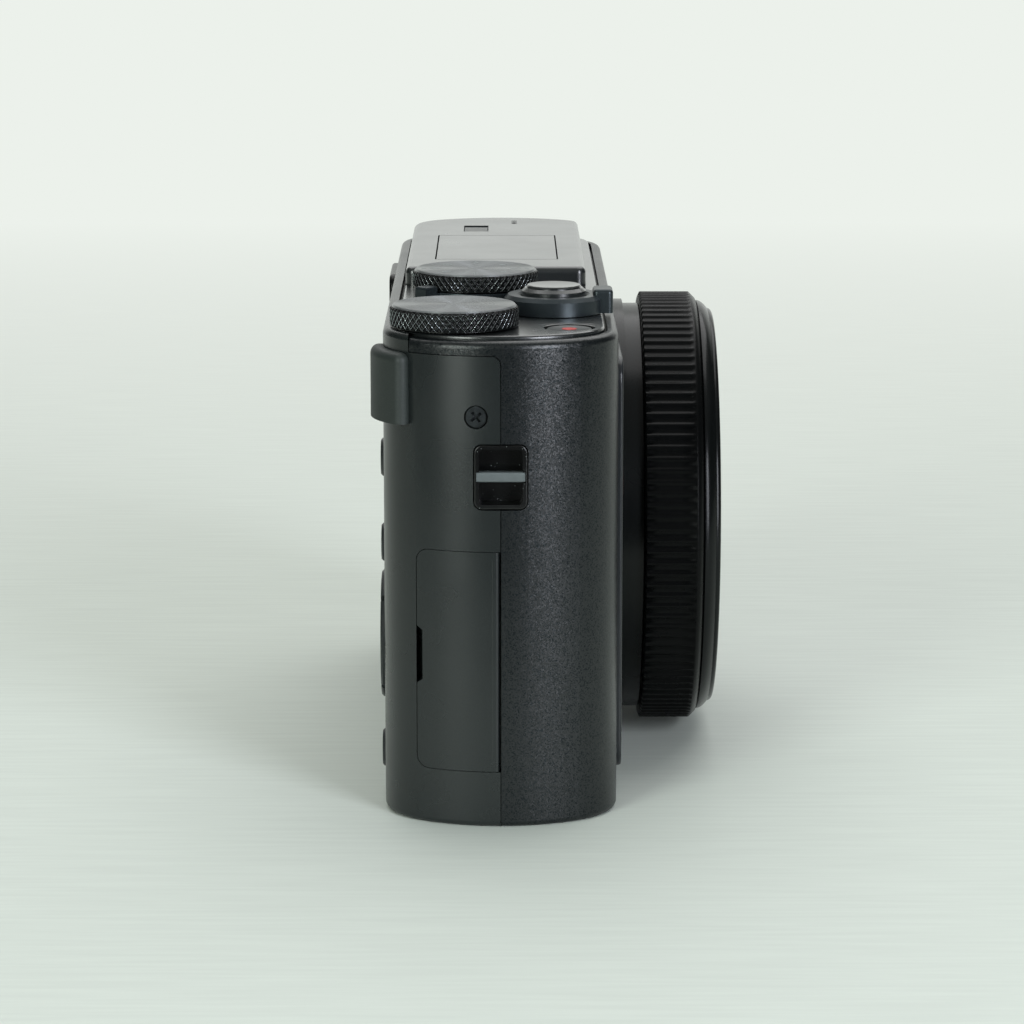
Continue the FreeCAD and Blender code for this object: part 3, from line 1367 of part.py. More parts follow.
def rest_end(edge):
    """Test for the two upright outer edges where the thumb rest ends."""
    middle = edge.CenterOfMass
    flank = middle.x < LEFT.value + 5 and middle.y < s.band_rear.value + 0.01
    inward = middle.x > -s.rest_inner.value - 0.01 and middle.y > REAR.value
    return along("Z")(edge) and (flank or inward)


def lug_span(end, near, far, inward):
    """Two positions along X, counted inwards from one end of the casing."""
    first, second = end + near * inward, end + far * inward
    return (first, second) if inward > 0 else (second, first)


def make_strap_lug(name, end, inward):
    """Strap lug insert with its pocket, and the bar that crosses it."""
    y = (-s.lug_width / 2, s.lug_width / 2)
    z = (s.lug_z - s.lug_height / 2, s.lug_z + s.lug_height / 2)
    blank = rounded_block(name + "_blank", lug_span(end, 0.05, s.lug_depth, inward), y, z, "X", s.lug_corner)
    soft = rounded(name + "_soft", blank, 0.2, at_level(end + 0.05 * inward, "x"))
    pocket_y = (-s.lug_pocket_width / 2, s.lug_pocket_width / 2)
    pocket_z = (s.lug_z - s.lug_pocket_height / 2, s.lug_z + s.lug_pocket_height / 2)
    pocket = rounded_block(name + "_pocket", lug_span(end, -1, s.lug_pocket_depth, inward), pocket_y, pocket_z,
                           "X", 0.5)
    slot = box(name + "_bar_slot", lug_span(end, -1, s.strap_bar_sink + s.strap_bar_depth + 0.03, inward),
               (y[0] + 0.25, y[1] - 0.25),
               (s.lug_z - s.strap_bar_height / 2 - 0.03, s.lug_z + s.strap_bar_height / 2 + 0.03))
    keep(name, cut(name, soft, pocket, slot))
    bar = box(name + "_bar_blank",
              lug_span(end, s.strap_bar_sink, s.strap_bar_sink + s.strap_bar_depth, inward),
              (y[0] + 0.28, y[1] - 0.28),
              (s.lug_z - s.strap_bar_height / 2, s.lug_z + s.strap_bar_height / 2))
    return rounded(name + "_bar", bar, 0.25, along("Y"))


def make_strap_lugs():
    """Both strap lugs, with the two bars in one node."""
    bars = [make_strap_lug("strap_lug_grip", LEFT, 1), make_strap_lug("strap_lug_far", RIGHT, -1)]
    keep("strap_bars", fuse("strap_bars", *bars))


def hinge_edge(edge):
    """Test for the port door's outer edge along the seam."""
    middle = edge.CenterOfMass
    upright = edge.BoundBox.ZLength > 10 and edge.BoundBox.YLength < 0.01
    return upright and abs(middle.y - s.seam_gap.value * 1.5) < 0.01 and middle.x < LEFT.value + 0.5


def make_port_door():
    """Door that follows the curved end, hinged on a pin beside the seam, with a fingernail notch."""
    outer = casing_block("door_outer", 0, 0, s.seam_level)
    inner = casing_block("door_inner", s.door_thickness, 0, s.seam_level)
    skin = cut("door_skin", common("door_panel", outer, door_zone("door_plan", 0)), inner)
    behind_seam = box("door_side", (-FAR_OUT, 0), (s.seam_gap * 1.5, FAR_OUT), (0, s.seam_level))
    soft = rounded("door_soft", common("door_blank", skin, behind_seam), s.door_edge_round, hinge_edge)
    at = hinge_line()
    knuckle = cylinder("door_knuckle", s.knuckle_radius, s.door_low + 1, s.door_high - 1, "Z", at)
    bore = cylinder("door_bore", s.hinge_pin_radius + s.pin_gap, s.door_low - 1, s.door_high + 1, "Z", at)
    body, sketch = new_body("door_notch", "XY_Plane")
    slant = 0.9
    draw_polygon(sketch, [
        (-s.door_notch_high, s.door_rear + 0.5), (-s.door_notch_high + slant, s.door_rear - s.door_notch_depth),
        (-s.door_notch_low - slant, s.door_rear - s.door_notch_depth), (-s.door_notch_low, s.door_rear + 0.5),
    ])
    pad(body, sketch, 12)
    place(body, LEFT - 1, 0, 0, SQUARE_TO["X"])
    keep("port_door", cut("port_door", fuse("door_whole", soft, knuckle), bore, body))


def socket(name, z, width, height, tongue):
    """Metal socket shell with an open mouth and the tongue inside it."""
    gap = 0.05
    y = (s.port_y - width / 2 + gap, s.port_y + width / 2 - gap)
    span = (z - height / 2 + gap, z + height / 2 - gap)
    blank = rounded_block(name + "_blank", (-s.recess_floor, -s.recess_floor + 6.2), y, span, "X", width / 2 - 0.4)
    mouth = rounded_block(name + "_mouth", (-s.recess_floor - 1, -s.recess_floor + 5),
                          (y[0] + 0.3, y[1] - 0.3), (span[0] + 0.3, span[1] - 0.3), "X", width / 2 - 0.7)
    blade = box(name + "_blade", (-s.recess_floor + 0.8, -s.recess_floor + 5.5),
                (s.port_y - 0.35, s.port_y + 0.35), (z - tongue / 2, z + tongue / 2))
    return fuse(name, cut(name + "_shell", blank, mouth), blade)


def make_sockets():
    """Both sockets behind the port door, in one node."""
    usb = socket("usb_socket", s.usb_z, USB_WIDTH, USB_HEIGHT, 6.6)
    hdmi = socket("hdmi_socket", s.hdmi_z, HDMI_WIDTH, HDMI_HEIGHT, 4.4)
    keep("port_sockets", fuse("port_sockets", usb, hdmi))


def make_battery_bay():
    """Battery, memory card and the bay that holds both."""
    gap, wall = s.bay_gap, s.bay_wall
    battery_x = (-s.battery_left, -s.battery_right)
    battery_y = (-s.battery_front, -s.battery_rear)
    battery_z = (s.battery_low, s.battery_low + s.battery_height)
    card_x = (-s.card_left, -s.card_left + s.card_width)
    card_y = (-s.card_front, -s.card_front + s.card_thickness)
    card_z = (s.battery_low, s.battery_low + s.card_height)
    keep("battery", rounded_block("battery", battery_x, battery_y, battery_z, "Z", 1.2))
    card, sketch = new_body("memory_card", "XY_Plane")
    cut_corner = as_size(4)
    # The sketch's own y runs along the row's -Z.
    draw_polygon(sketch, [
        (card_x[0], -card_z[0]), (card_x[1], -card_z[0]), (card_x[1], -card_z[1]),
        (card_x[0] + cut_corner, -card_z[1]), (card_x[0], cut_corner - card_z[1]),
    ])
    pad(card, sketch, s.card_thickness)
    place(card, 0, card_y[0], 0, SQUARE_TO["Y"])
    keep("memory_card", card)
    outer = box("bay_outer", (battery_x[0] - gap - wall, battery_x[1] + gap + wall),
                (battery_y[0] - gap - wall, card_y[0] - gap), (s.bay_low, battery_z[1] + gap + wall))
    slot_outer = box("slot_outer", (card_x[0] - gap - wall, battery_x[1] + gap + wall),
                     (card_y[0] - gap - wall, card_y[1] + gap + wall), (s.bay_low, card_z[1] + gap + wall))
    room = box("bay_room", (battery_x[0] - gap, battery_x[1] + gap), (battery_y[0] - gap, battery_y[1] + gap),
               (s.bay_low - 1, battery_z[1] + gap))
    slot_room = box("slot_room", (card_x[0] - gap, card_x[1] + gap), (card_y[0] - gap, card_y[1] + gap),
                    (s.bay_low - 1, card_z[1] + gap))
    keep("battery_bay", cut("battery_bay", fuse("bay_whole", outer, slot_outer), room, slot_room))


def make_flash():
    """Pop-up flash: a shaft with two arms, and a head that the arms keep level, with its window."""
    pivot = (s.flash_pivot_y, s.flash_pivot_z)
    tip_y = s.flash_pivot_y - s.flash_arm_length
    tip = (tip_y, s.flash_pivot_z)
    case_left = s.lid_left + s.flash_case_inset
    case_right = s.lid_right - s.flash_case_inset
    lid_low = s.housing_top - s.lid_thickness
    lid = box("flash_lid", (s.lid_left, s.lid_right), (-s.lid_front, s.lid_rear), (lid_low, s.housing_top))
    case = box("flash_case", (case_left, case_right), (-s.lid_front, s.flash_case_rear),
               (s.flash_case_low, s.housing_top - 0.5))
    arm_gap = 0.2
    pins = [
        cylinder("head_pin_left", s.flash_pin_radius, case_left - arm_gap - s.flash_arm_thickness, case_left + 1,
                 "X", tip),
        cylinder("head_pin_right", s.flash_pin_radius, case_right - 1,
                 case_right + arm_gap + s.flash_arm_thickness, "X", tip),
    ]
    middle = (s.lid_left + s.lid_right) / 2
    window_x = (middle - s.flash_window_width / 2, middle + s.flash_window_width / 2)
    window_z = (s.flash_case_low + 0.6, s.flash_case_low + 0.6 + s.flash_window_height)
    window_y = (-s.lid_front, -s.lid_front + s.flash_window_depth)
    room = box("window_room", (window_x[0] - 0.05, window_x[1] + 0.05), (window_y[0] - 1, window_y[1] + 0.05),
               (window_z[0] - 0.05, window_z[1] + 0.05))
    keep("flash_head", cut("flash_head", fuse("head_whole", lid, case, *pins), room))
    keep("flash_window", box("flash_window", window_x, window_y, window_z))
    shaft = cylinder("flash_shaft", s.flash_shaft_radius, s.lid_left - s.lid_gap - 0.6,
                     s.lid_right + s.lid_gap + 0.6, "X", pivot)
    arms = []
    bores = []
    sides = ((case_left - arm_gap - s.flash_arm_thickness, case_left - arm_gap),
             (case_right + arm_gap, case_right + arm_gap + s.flash_arm_thickness))
    for number, side in enumerate(sides):
        bar = box(f"arm_bar_{number}", side, (tip_y, s.flash_pivot_y), (s.flash_pivot_z - 1, s.flash_pivot_z + 1))
        arms += [bar, cylinder(f"arm_eye_{number}", 1, *side, "X", tip),
                 cylinder(f"arm_root_{number}", 1.1, *side, "X", pivot)]
        bores.append(cylinder(f"arm_bore_{number}", s.flash_pin_radius + s.pin_gap, side[0] - 0.1, side[1] + 0.1,
                              "X", tip))
    keep("flash_arm", cut("flash_arm", fuse("arm_whole", shaft, *arms), *bores))
    slider_x, slider_y = release_span(0)
    slider_x = (slider_x[0], slider_x[0] + s.release_length)
    top = s.housing_top - s.release_sink
    blank = rounded_block("release_blank", slider_x, slider_y, (top - s.release_depth + 0.1, top), "Z", 0.5)
    ridges = [box(f"release_groove_{number}", (slider_x[0] + 0.9 + number, slider_x[0] + 1.3 + number),
                  (slider_y[0] + 0.5, slider_y[1] - 0.5), (top - 0.3, top + 1)) for number in range(3)]
    keep("flash_release", cut("flash_release", blank, *ridges))


def make_screen_and_finder():
    """Screen module and its glass, the finder with its eyepiece, and the diopter wheel."""
    keep("screen_glass", screen_block("screen_glass", 0, INNER_REAR, REAR - 0.1))
    margin = s.screen_margin
    keep("screen_module", box("screen_module", (-s.screen_left - margin, s.screen_right + margin),
                              (s.module_front, INNER_REAR), (s.screen_low - margin, s.screen_high + margin)))
    inner_end = INNER_REAR - 0.5
    blank = eyepiece_block("eyepiece_blank", 0, inner_end, REAR + s.eyepiece_proud)
    soft = rounded("eyepiece_soft", blank, 0.5, at_level(REAR + s.eyepiece_proud, "y"))
    border = s.eyepiece_border
    window = rounded_block("eyepiece_window", (s.eyepiece_left + border, s.eyepiece_right - border),
                           (inner_end - 1, REAR + s.eyepiece_proud + 1),
                           (s.eyepiece_low + border, s.eyepiece_high - border), "Y", 1)
    keep("eyepiece_frame", cut("eyepiece_frame", soft, window))
    glass = rounded_block("eyepiece_glass", (s.eyepiece_left + border + 0.05, s.eyepiece_right - border - 0.05),
                          (REAR - 1.1, REAR - 1.1 + s.eyepiece_glass_depth),
                          (s.eyepiece_low + border + 0.05, s.eyepiece_high - border - 0.05), "Y", 0.95)
    keep("eyepiece_glass", glass)
    keep("finder_module", box("finder_module", (s.eyepiece_left + 1.2, s.eyepiece_right - 1.2),
                              (s.finder_front, inner_end - 0.05), (s.eyepiece_low + 0.2, s.finder_top)))
    wheel = [
        (0, s.diopter_low - 0.2 - s.diopter_ear), (s.diopter_shaft_radius, s.diopter_low - 0.2 - s.diopter_ear),
        (s.diopter_shaft_radius, s.diopter_low), (s.diopter_radius - 0.3, s.diopter_low),
        (s.diopter_radius, s.diopter_low + 0.3), (s.diopter_radius, s.diopter_high - 0.3),
        (s.diopter_radius - 0.3, s.diopter_high), (s.diopter_shaft_radius, s.diopter_high),
        (s.diopter_shaft_radius, s.diopter_high + 0.2 + s.diopter_ear), (0, s.diopter_high + 0.2 + s.diopter_ear),
    ]
    keep("diopter_wheel", turned("diopter_wheel", wheel, "Z", (s.diopter_x, s.diopter_y)))


def make_inner_parts():
    """Chassis, boards and the sensor behind the lens."""
    x = (-s.chassis_left, s.chassis_right)
    plate = box("chassis_plate", x, (s.chassis_front, s.chassis_rear), (s.chassis_low, s.chassis_top))
    feet = [box(f"chassis_foot_{number}", (at[0] - 2.6, at[0] + 2.6), (3.4, s.chassis_rear), (s.chassis_low, 7.5))
            for number, at in enumerate(BASE_SCREWS[2:])]
    standoffs = [cylinder(f"standoff_{number}", s.standoff_radius, s.chassis_rear - 0.2, s.main_board_front, "Y", at)
                 for number, at in enumerate(((-22, 8), (-22, 45), (44, 8), (44, 45)))]
    holes = [cylinder(f"chassis_hole_{number}", 4, s.chassis_front - 1, s.chassis_rear + 1, "Y", at)
             for number, at in enumerate(((-18, 30), (20, 30), (34, 30), (34, 18)))]
    holes += [screw_hole(f"foot_hole_{number}", s.chassis_low - 1, 6, "Z", at)
              for number, at in enumerate(BASE_SCREWS[2:])]
    keep("chassis", cut("chassis", fuse("chassis_whole", plate, *feet, *standoffs), *holes))
    board_back = s.main_board_front + s.board_thickness
    board = box("board_blank", (-s.chassis_left + 1.4, s.chassis_right - 1), (s.main_board_front, board_back),
                (4, s.chassis_top - 0.8))
    chips = [box(f"chip_{number}", (x, x + size), (board_back - 0.1, board_back + 1.2), (z, z + size))
             for number, (x, z, size) in enumerate(((-6, 26, 12), (14, 30, 9), (16, 12, 7), (-18, 12, 8)))]
    keep("main_board", fuse("main_board", board, *chips))
    half_width, half_height = s.sensor_width / 2, s.sensor_height / 2
    keep("sensor_module", box("sensor_module", (-half_width, half_width), (s.tube_rear, s.chassis_front),
                              (s.lens_level - half_height, s.lens_level + half_height)))


def top_board():
    """Board under the top plate, with the blocks that the two dial shafts turn in."""
    plan = casing_block("top_board_plan", s.wall + 1.6, s.top_board_top - s.board_thickness, s.top_board_top)
    span = box("top_board_span", (-FAR_OUT, -s.housing_left - 1.5), (-FAR_OUT, FAR_OUT),
               (s.top_board_top - s.board_thickness, s.top_board_top))
    blocks = [cylinder("thumb_encoder", 3.4, s.top_board_top - 0.2, s.top_board_top + 0.9, "Z",
                       (-s.thumb_dial_x, s.thumb_dial_y)),
              cylinder("mode_encoder", 3.8, s.top_board_top - 0.2, s.top_board_top + 0.9, "Z",
                       (-s.mode_dial_x, s.mode_dial_y))]
    return fuse("top_board", common("top_board_blank", plan, span), *blocks)


def make_tripod_socket():
    """Threaded insert in the base, with a flange above the base plate."""
    low = s.wall + s.base_flange + 0.05
    profile = [
        (s.socket_bore, 0), (s.socket_radius, 0), (s.socket_radius, low), (s.socket_radius + 0.4, low),
        (s.socket_radius + 0.4, low + 0.9), (s.socket_radius, low + 0.9), (s.socket_radius, s.socket_height),
        (0, s.socket_height), (0, s.socket_depth), (s.socket_bore, s.socket_depth),
    ]
    keep("tripod_socket", turned("tripod_socket", profile))


def make_screws():
    """Base screws and end screws, in one node."""
    solids = []
    for number, at in enumerate(BASE_SCREWS):
        head = cylinder(f"base_screw_head_{number}", s.screw_head_radius, 0.1, s.screw_head_height, "Z", at)
        shank = cylinder(f"base_screw_shank_{number}", s.screw_shank_radius, s.screw_head_height - 0.1, 5.5, "Z", at)
        solids.append(fuse(f"base_screw_{number}", head, shank))
    at = (s.end_screw_y, s.end_screw_z)
    sink = as_size(0.45)
    for name, end, inward in (("grip", LEFT, 1), ("far", RIGHT, -1)):
        head = cylinder(f"end_screw_head_{name}", s.screw_head_radius,
                        *lug_span(end, sink, sink + s.screw_head_height - 0.2, inward), "X", at)
        shank = cylinder(f"end_screw_shank_{name}", s.screw_shank_radius,
                         *lug_span(end, sink + 0.5, sink + 4, inward), "X", at)
        solids.append(fuse(f"end_screw_{name}", head, shank))
    keep("case_screws", fuse("case_screws", *solids))


def build():
    """Make every sub-part."""
    make_front_shell()
    make_rear_shell()
    make_top_plate()
    make_top_housing()
    make_base_plate()
    make_hatch()
    make_front_trim()
    make_lens()
    make_dials()
    make_zoom_lever()
    make_movie_button()
    key_board = make_rear_controls()
    make_thumb_rest()
    make_strap_lugs()
    make_port_door()
    make_hinge_pins()
    make_sockets()
    make_battery_bay()
    make_flash()
    make_screen_and_finder()
    make_inner_parts()
    keep("control_boards", fuse("control_boards", key_board, top_board()))
    make_tripod_socket()
    make_screws()


def write_parts():
    """Check the model and write one file for each sub-part."""
    DOC.recompute()
    faults = [item.Name for item in DOC.Objects if "Invalid" in item.State or "Error" in item.State]
    if faults:
        raise RuntimeError("features that failed: " + ", ".join(faults))
    os.makedirs("parts", exist_ok=True)
    for name, item in PARTS:
        shape = item.Shape
        if shape.isNull() or not shape.isValid() or not shape.Solids:
            raise RuntimeError("no valid solid in " + name)
        shape.exportStep(f"parts/{name}.step")
        print(f"{name:22s} solids {len(shape.Solids)}  volume {shape.Volume:10.2f}")
    print(len(PARTS), "parts")


build()
write_parts()
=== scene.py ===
"""Photoreal dressing of the compact camera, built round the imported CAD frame."""

import json
import logging
import math
from dataclasses import dataclass, field, replace
from enum import Enum
from functools import partial
from typing import Callable, Optional, Sequence

import bpy
from mathutils import Matrix, Vector

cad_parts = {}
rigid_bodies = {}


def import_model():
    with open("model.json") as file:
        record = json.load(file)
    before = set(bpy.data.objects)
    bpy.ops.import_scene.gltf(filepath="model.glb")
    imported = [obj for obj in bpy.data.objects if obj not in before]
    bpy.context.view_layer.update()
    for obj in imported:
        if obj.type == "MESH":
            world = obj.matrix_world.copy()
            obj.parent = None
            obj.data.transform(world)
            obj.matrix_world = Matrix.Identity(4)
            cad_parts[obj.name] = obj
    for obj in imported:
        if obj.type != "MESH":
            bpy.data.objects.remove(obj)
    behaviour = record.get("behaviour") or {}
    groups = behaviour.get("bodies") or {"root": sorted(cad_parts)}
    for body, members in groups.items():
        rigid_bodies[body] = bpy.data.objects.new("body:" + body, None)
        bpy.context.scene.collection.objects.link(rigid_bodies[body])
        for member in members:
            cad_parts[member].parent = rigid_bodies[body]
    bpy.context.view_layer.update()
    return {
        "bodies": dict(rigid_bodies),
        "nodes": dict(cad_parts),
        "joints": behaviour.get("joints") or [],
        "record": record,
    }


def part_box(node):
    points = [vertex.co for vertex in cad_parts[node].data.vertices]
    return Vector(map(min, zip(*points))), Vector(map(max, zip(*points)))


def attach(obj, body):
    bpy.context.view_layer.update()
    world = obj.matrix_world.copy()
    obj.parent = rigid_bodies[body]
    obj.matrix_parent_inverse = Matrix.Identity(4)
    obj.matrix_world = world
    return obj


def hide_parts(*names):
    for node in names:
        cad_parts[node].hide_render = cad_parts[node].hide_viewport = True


logging.basicConfig(level=logging.INFO, format="%(message)s")
LOG = logging.getLogger("camera")

MM = 0.001
TIP = 0.001 * MM  # radius at which a lathed skin closes on its axis
WAVE_PERIOD = 0.314  # a wave texture repeats every 2 pi / 20 units at a scale of 1
ROOT = "camera_body"


# Colour and node helpers

def linear(hex_colour: str) -> tuple:
    """Turn an sRGB hex colour into linear RGBA.

    Args:
        hex_colour: Colour as "#rrggbb".

    Returns:
        Linear red, green, blue and an alpha of 1.
    """
    channels = [int(hex_colour[i:i + 2], 16) / 255 for i in (1, 3, 5)]
    curve = [c / 12.92 if c <= 0.04045 else ((c + 0.055) / 1.055) ** 2.4 for c in channels]
    return (*curve, 1.0)


def add(tree: bpy.types.NodeTree, kind: str, sockets: Optional[dict] = None, **settings) -> bpy.types.Node:
    """Add a node, set its properties, and fill or link its sockets.

    Args:
        tree: Node tree that receives the node.
        kind: Blender's node type name, without "ShaderNode".
        sockets: Input name or index to a value, or to an output socket to link from.
        settings: Properties of the node itself.

    Returns:
        The new node.
    """
    node = tree.nodes.new("ShaderNode" + kind)
    for name, value in settings.items():
        setattr(node, name, value)
    for key, value in (sockets or {}).items():
        if isinstance(value, bpy.types.NodeSocket):
            tree.links.new(value, node.inputs[key])
        else:
            node.inputs[key].default_value = value
    return node


def blank(block: bpy.types.ID) -> bpy.types.NodeTree:
    """Give a material or a world an empty node tree.

    Args:
        block: The new material or world.

    Returns:
        Its tree.
    """
    block.use_nodes = True
    block.node_tree.nodes.clear()
    return block.node_tree


def per_mm(pitch_mm: float) -> float:
    """Scale of a pattern whose neighbours are pitch_mm apart, for positions in metres."""
    return 1 / (pitch_mm * MM)


# Finishes

class Grain(Enum):
    """Surface relief of a finish."""

    SPARKED = "spark-eroded mould grain"
    SANDED = "coarse sprayed grain with metal flecks"
    TURNED = "fine concentric tool marks"
    BRUSHED = "fine straight tool marks"
    POLISHED = "polished, with a faint waviness"
    RIBBED = "moulded prism lines"
    TRACKS = "etched copper tracks under solder mask"


@dataclass(frozen=True)
class Finish:
    """One real finish, and what its nodes need.

    Args:
        made_of: Real material and how it is made.
        colour: Main sRGB colour.
        second: sRGB colour of the spread, flecks or worn parts.
        grain: Kind of surface relief.
        pitch_mm: Distance between neighbouring grains or marks, as drawn.
        depth_um: Height of the relief.
        roughness: Middle roughness.
        spread: How far the roughness wanders.
        metallic: 1 for bare or anodised metal, 0 for paint, plastic and glass.
        clear: Share of light that passes, for glass and clear mouldings.
        coat: Weight of a lacquer layer.
        centre: Axis point of turned marks, in metres.
        axis: Axis of turned marks.
        ior: Index of refraction, used for what isn't metal.
        gloss: Specular level, under 0.5 where fine relief traps light.
    """

    made_of: str
    colour: str
    second: str
    grain: Grain
    pitch_mm: float
    depth_um: float
    roughness: float
    spread: float = 0.06
    metallic: float = 0.0
    clear: float = 0.0
    coat: float = 0.0
    centre: tuple = (0.0, 0.0, 0.0)
    axis: str = "Z"
    ior: float = 1.5
    gloss: float = 0.5


# The photograph shows the end of the camera in cool near-blacks. The flecks are bluish grey, the
# rear half is a flatter, slightly greener charcoal, and the turned tops catch the pale surroundings.
# Paint flakes, mould grain and tool marks are finer in truth, mostly 0.02 to 0.06 mm. That is too fine
# to show, so each is drawn as coarse as the render needs. Text after a colon says what the eye gets.
FINISHES = {
    "alloy_black": Finish("die-cast magnesium, sprayed with satin paint holding metal flecks: sparkles",
                          "#0f1314", "#192023", Grain.SANDED, 0.15, 2, 0.31, 0.02),
    "rear_plastic": Finish("glass-filled nylon from a spark-eroded mould: matte, even charcoal",
                           "#181c1c", "#1e2323", Grain.SPARKED, 0.2, 5, 0.28, 0.03),
    "top_black": Finish("pressed aluminium with fine satin paint: mirrors pale surroundings at low angles",
                        "#16191a", "#1f2323", Grain.SPARKED, 0.14, 0.5, 0.3, 0.03, coat=0.75),
    "trim_plate": Finish("painted moulded trim: dark bluish satin",
                         "#15181b", "#1f2327", Grain.SPARKED, 0.14, 5, 0.32, 0.05),
    "dial_metal": Finish("aluminium, turned and dyed black in the anodising bath: dark, with bright edges",
                         "#0b0c0d", "#111313", Grain.BRUSHED, 0.2, 0.5, 0.26, 0.02, gloss=0.3),
    "turned_top": Finish("aluminium faced on a lathe and black anodised: light runs round it in a cone",
                         "#6e7172", "#727576", Grain.TURNED, 0.12, 0.3, 0.38, 0.0, metallic=0.7),
    # Pale crest metal: partly dye rubbed thin, partly a painted glint where the crests catch the light.
    "knurl_crest_wear_and_glint": Finish("knurl crests, where the dye has rubbed thin: small bright glints",
                         "#9aa0a2", "#a8aeb0", Grain.BRUSHED, 0.2, 0.5, 0.25, 0.02, metallic=1.0),
    "lever_satin": Finish("aluminium, bead-blasted and black anodised: broad soft highlights",
                          "#2c3336", "#353c3f", Grain.SPARKED, 0.1, 2, 0.36, 0.03, metallic=0.6),
    "ring_metal": Finish("aluminium ring, milled and black anodised: near black between its ribs",
                         "#060707", "#0b0c0c", Grain.BRUSHED, 0.09, 1, 0.28, 0.04, gloss=0.09),
    "lens_black": Finish("polycarbonate with a satin paint: very dark, soft sheen",
                         "#080a0a", "#0d1010", Grain.SPARKED, 0.12, 3, 0.26, 0.04, gloss=0.2),
    "bezel_black": Finish("semi-gloss moulding: dark with a clean edge highlight",
                          "#080a0a", "#0d1010", Grain.SPARKED, 0.12, 2, 0.24, 0.04, gloss=0.2),
    "blade_steel": Finish("thin spring steel, blackened: faint straight rolling marks",
                          "#2b2d30", "#3a3d41", Grain.BRUSHED, 0.08, 2, 0.38, 0.08, metallic=0.8),
    "optical_glass": Finish("coated optical glass: clear with a cool reflex",
                            "#dfe6f2", "#c8d2ec", Grain.POLISHED, 3.0, 0.4, 0.02, 0.01, clear=1.0, ior=1.7),
    "screen_glass": Finish("bonded cover glass over a dark panel: black mirror",
                           "#07080a", "#0d0f12", Grain.POLISHED, 6.0, 0.6, 0.05, 0.02, coat=0.6, ior=1.52),
    "lamp_lens": Finish("dark tinted acrylic dome: deep red glint",
                        "#2a0e0d", "#441815", Grain.POLISHED, 1.2, 3, 0.12, 0.03, coat=0.5),
    "flash_lens": Finish("clear acrylic with moulded prisms: pale, lined",
                         "#e9ebe6", "#cfd4cf", Grain.RIBBED, 0.7, 60, 0.12, 0.04, clear=0.75, ior=1.49),
    "grip_rubber": Finish("moulded thermoplastic rubber: dull, greenish charcoal",
                          "#202725", "#29302d", Grain.SPARKED, 0.22, 10, 0.6, 0.06),
    "lug_insert": Finish("gloss black moulding that gathers dust in its pockets: black with pale specks",
                         "#080909", "#8b9190", Grain.POLISHED, 0.6, 5, 0.26, 0.08),
    "bar_steel": Finish("grey lacquered steel pin: satin, mid grey",
                        "#5f6667", "#737a7b", Grain.BRUSHED, 0.1, 3, 0.44, 0.06, metallic=0.55),
    "screw_steel": Finish("blackened steel: dark with rubbed edges",
                          "#2e3233", "#54595b", Grain.TURNED, 0.12, 4, 0.4, 0.1, metallic=0.8),
    "socket_steel": Finish("nickel-plated steel: bright satin",
                           "#b3b5b6", "#9a9c9e", Grain.TURNED, 0.2, 4, 0.3, 0.08, metallic=1.0),
    "key_plastic": Finish("moulded keys, polished a little by use: soft dark satin",
                          "#202425", "#2c3132", Grain.SPARKED, 0.13, 4, 0.42, 0.08),
    "inner_steel": Finish("pressed zinc-plated sheet: cool grey rolling marks",
                          "#a2a5a6", "#83878a", Grain.BRUSHED, 0.3, 5, 0.38, 0.1, metallic=1.0),
    "circuit_board": Finish("glass-epoxy laminate with green solder mask: tracks stand a little proud",
                            "#0f4a2c", "#1f7344", Grain.TRACKS, 1.1, 30, 0.32, 0.08),
    "inner_black": Finish("black moulding made to swallow stray light: dull all over",
                          "#141515", "#1c1e1e", Grain.SPARKED, 0.15, 6, 0.72, 0.05),
    "battery_case": Finish("plastic wrap shrunk over the cell: plain grey satin",
                           "#4c4f52", "#5a5e61", Grain.SPARKED, 0.2, 4, 0.5, 0.05),
    "mark_paint": Finish("enamel filled into engraving: flat pale grey",
                         "#8f9594", "#808686", Grain.SPARKED, 0.1, 3, 0.6),
    "record_red": Finish("enamel filled into a pit: flat red",
                         "#c3261f", "#a81d18", Grain.SPARKED, 0.1, 3, 0.5),
}


@dataclass(frozen=True)
class Ground:
    """What a pattern is drawn on.

    Args:
        tree: Node tree of the material.
        place: Position in metres.
        finish: The finish in hand.
    """

    tree: bpy.types.NodeTree
    place: bpy.types.NodeSocket
    finish: Finish


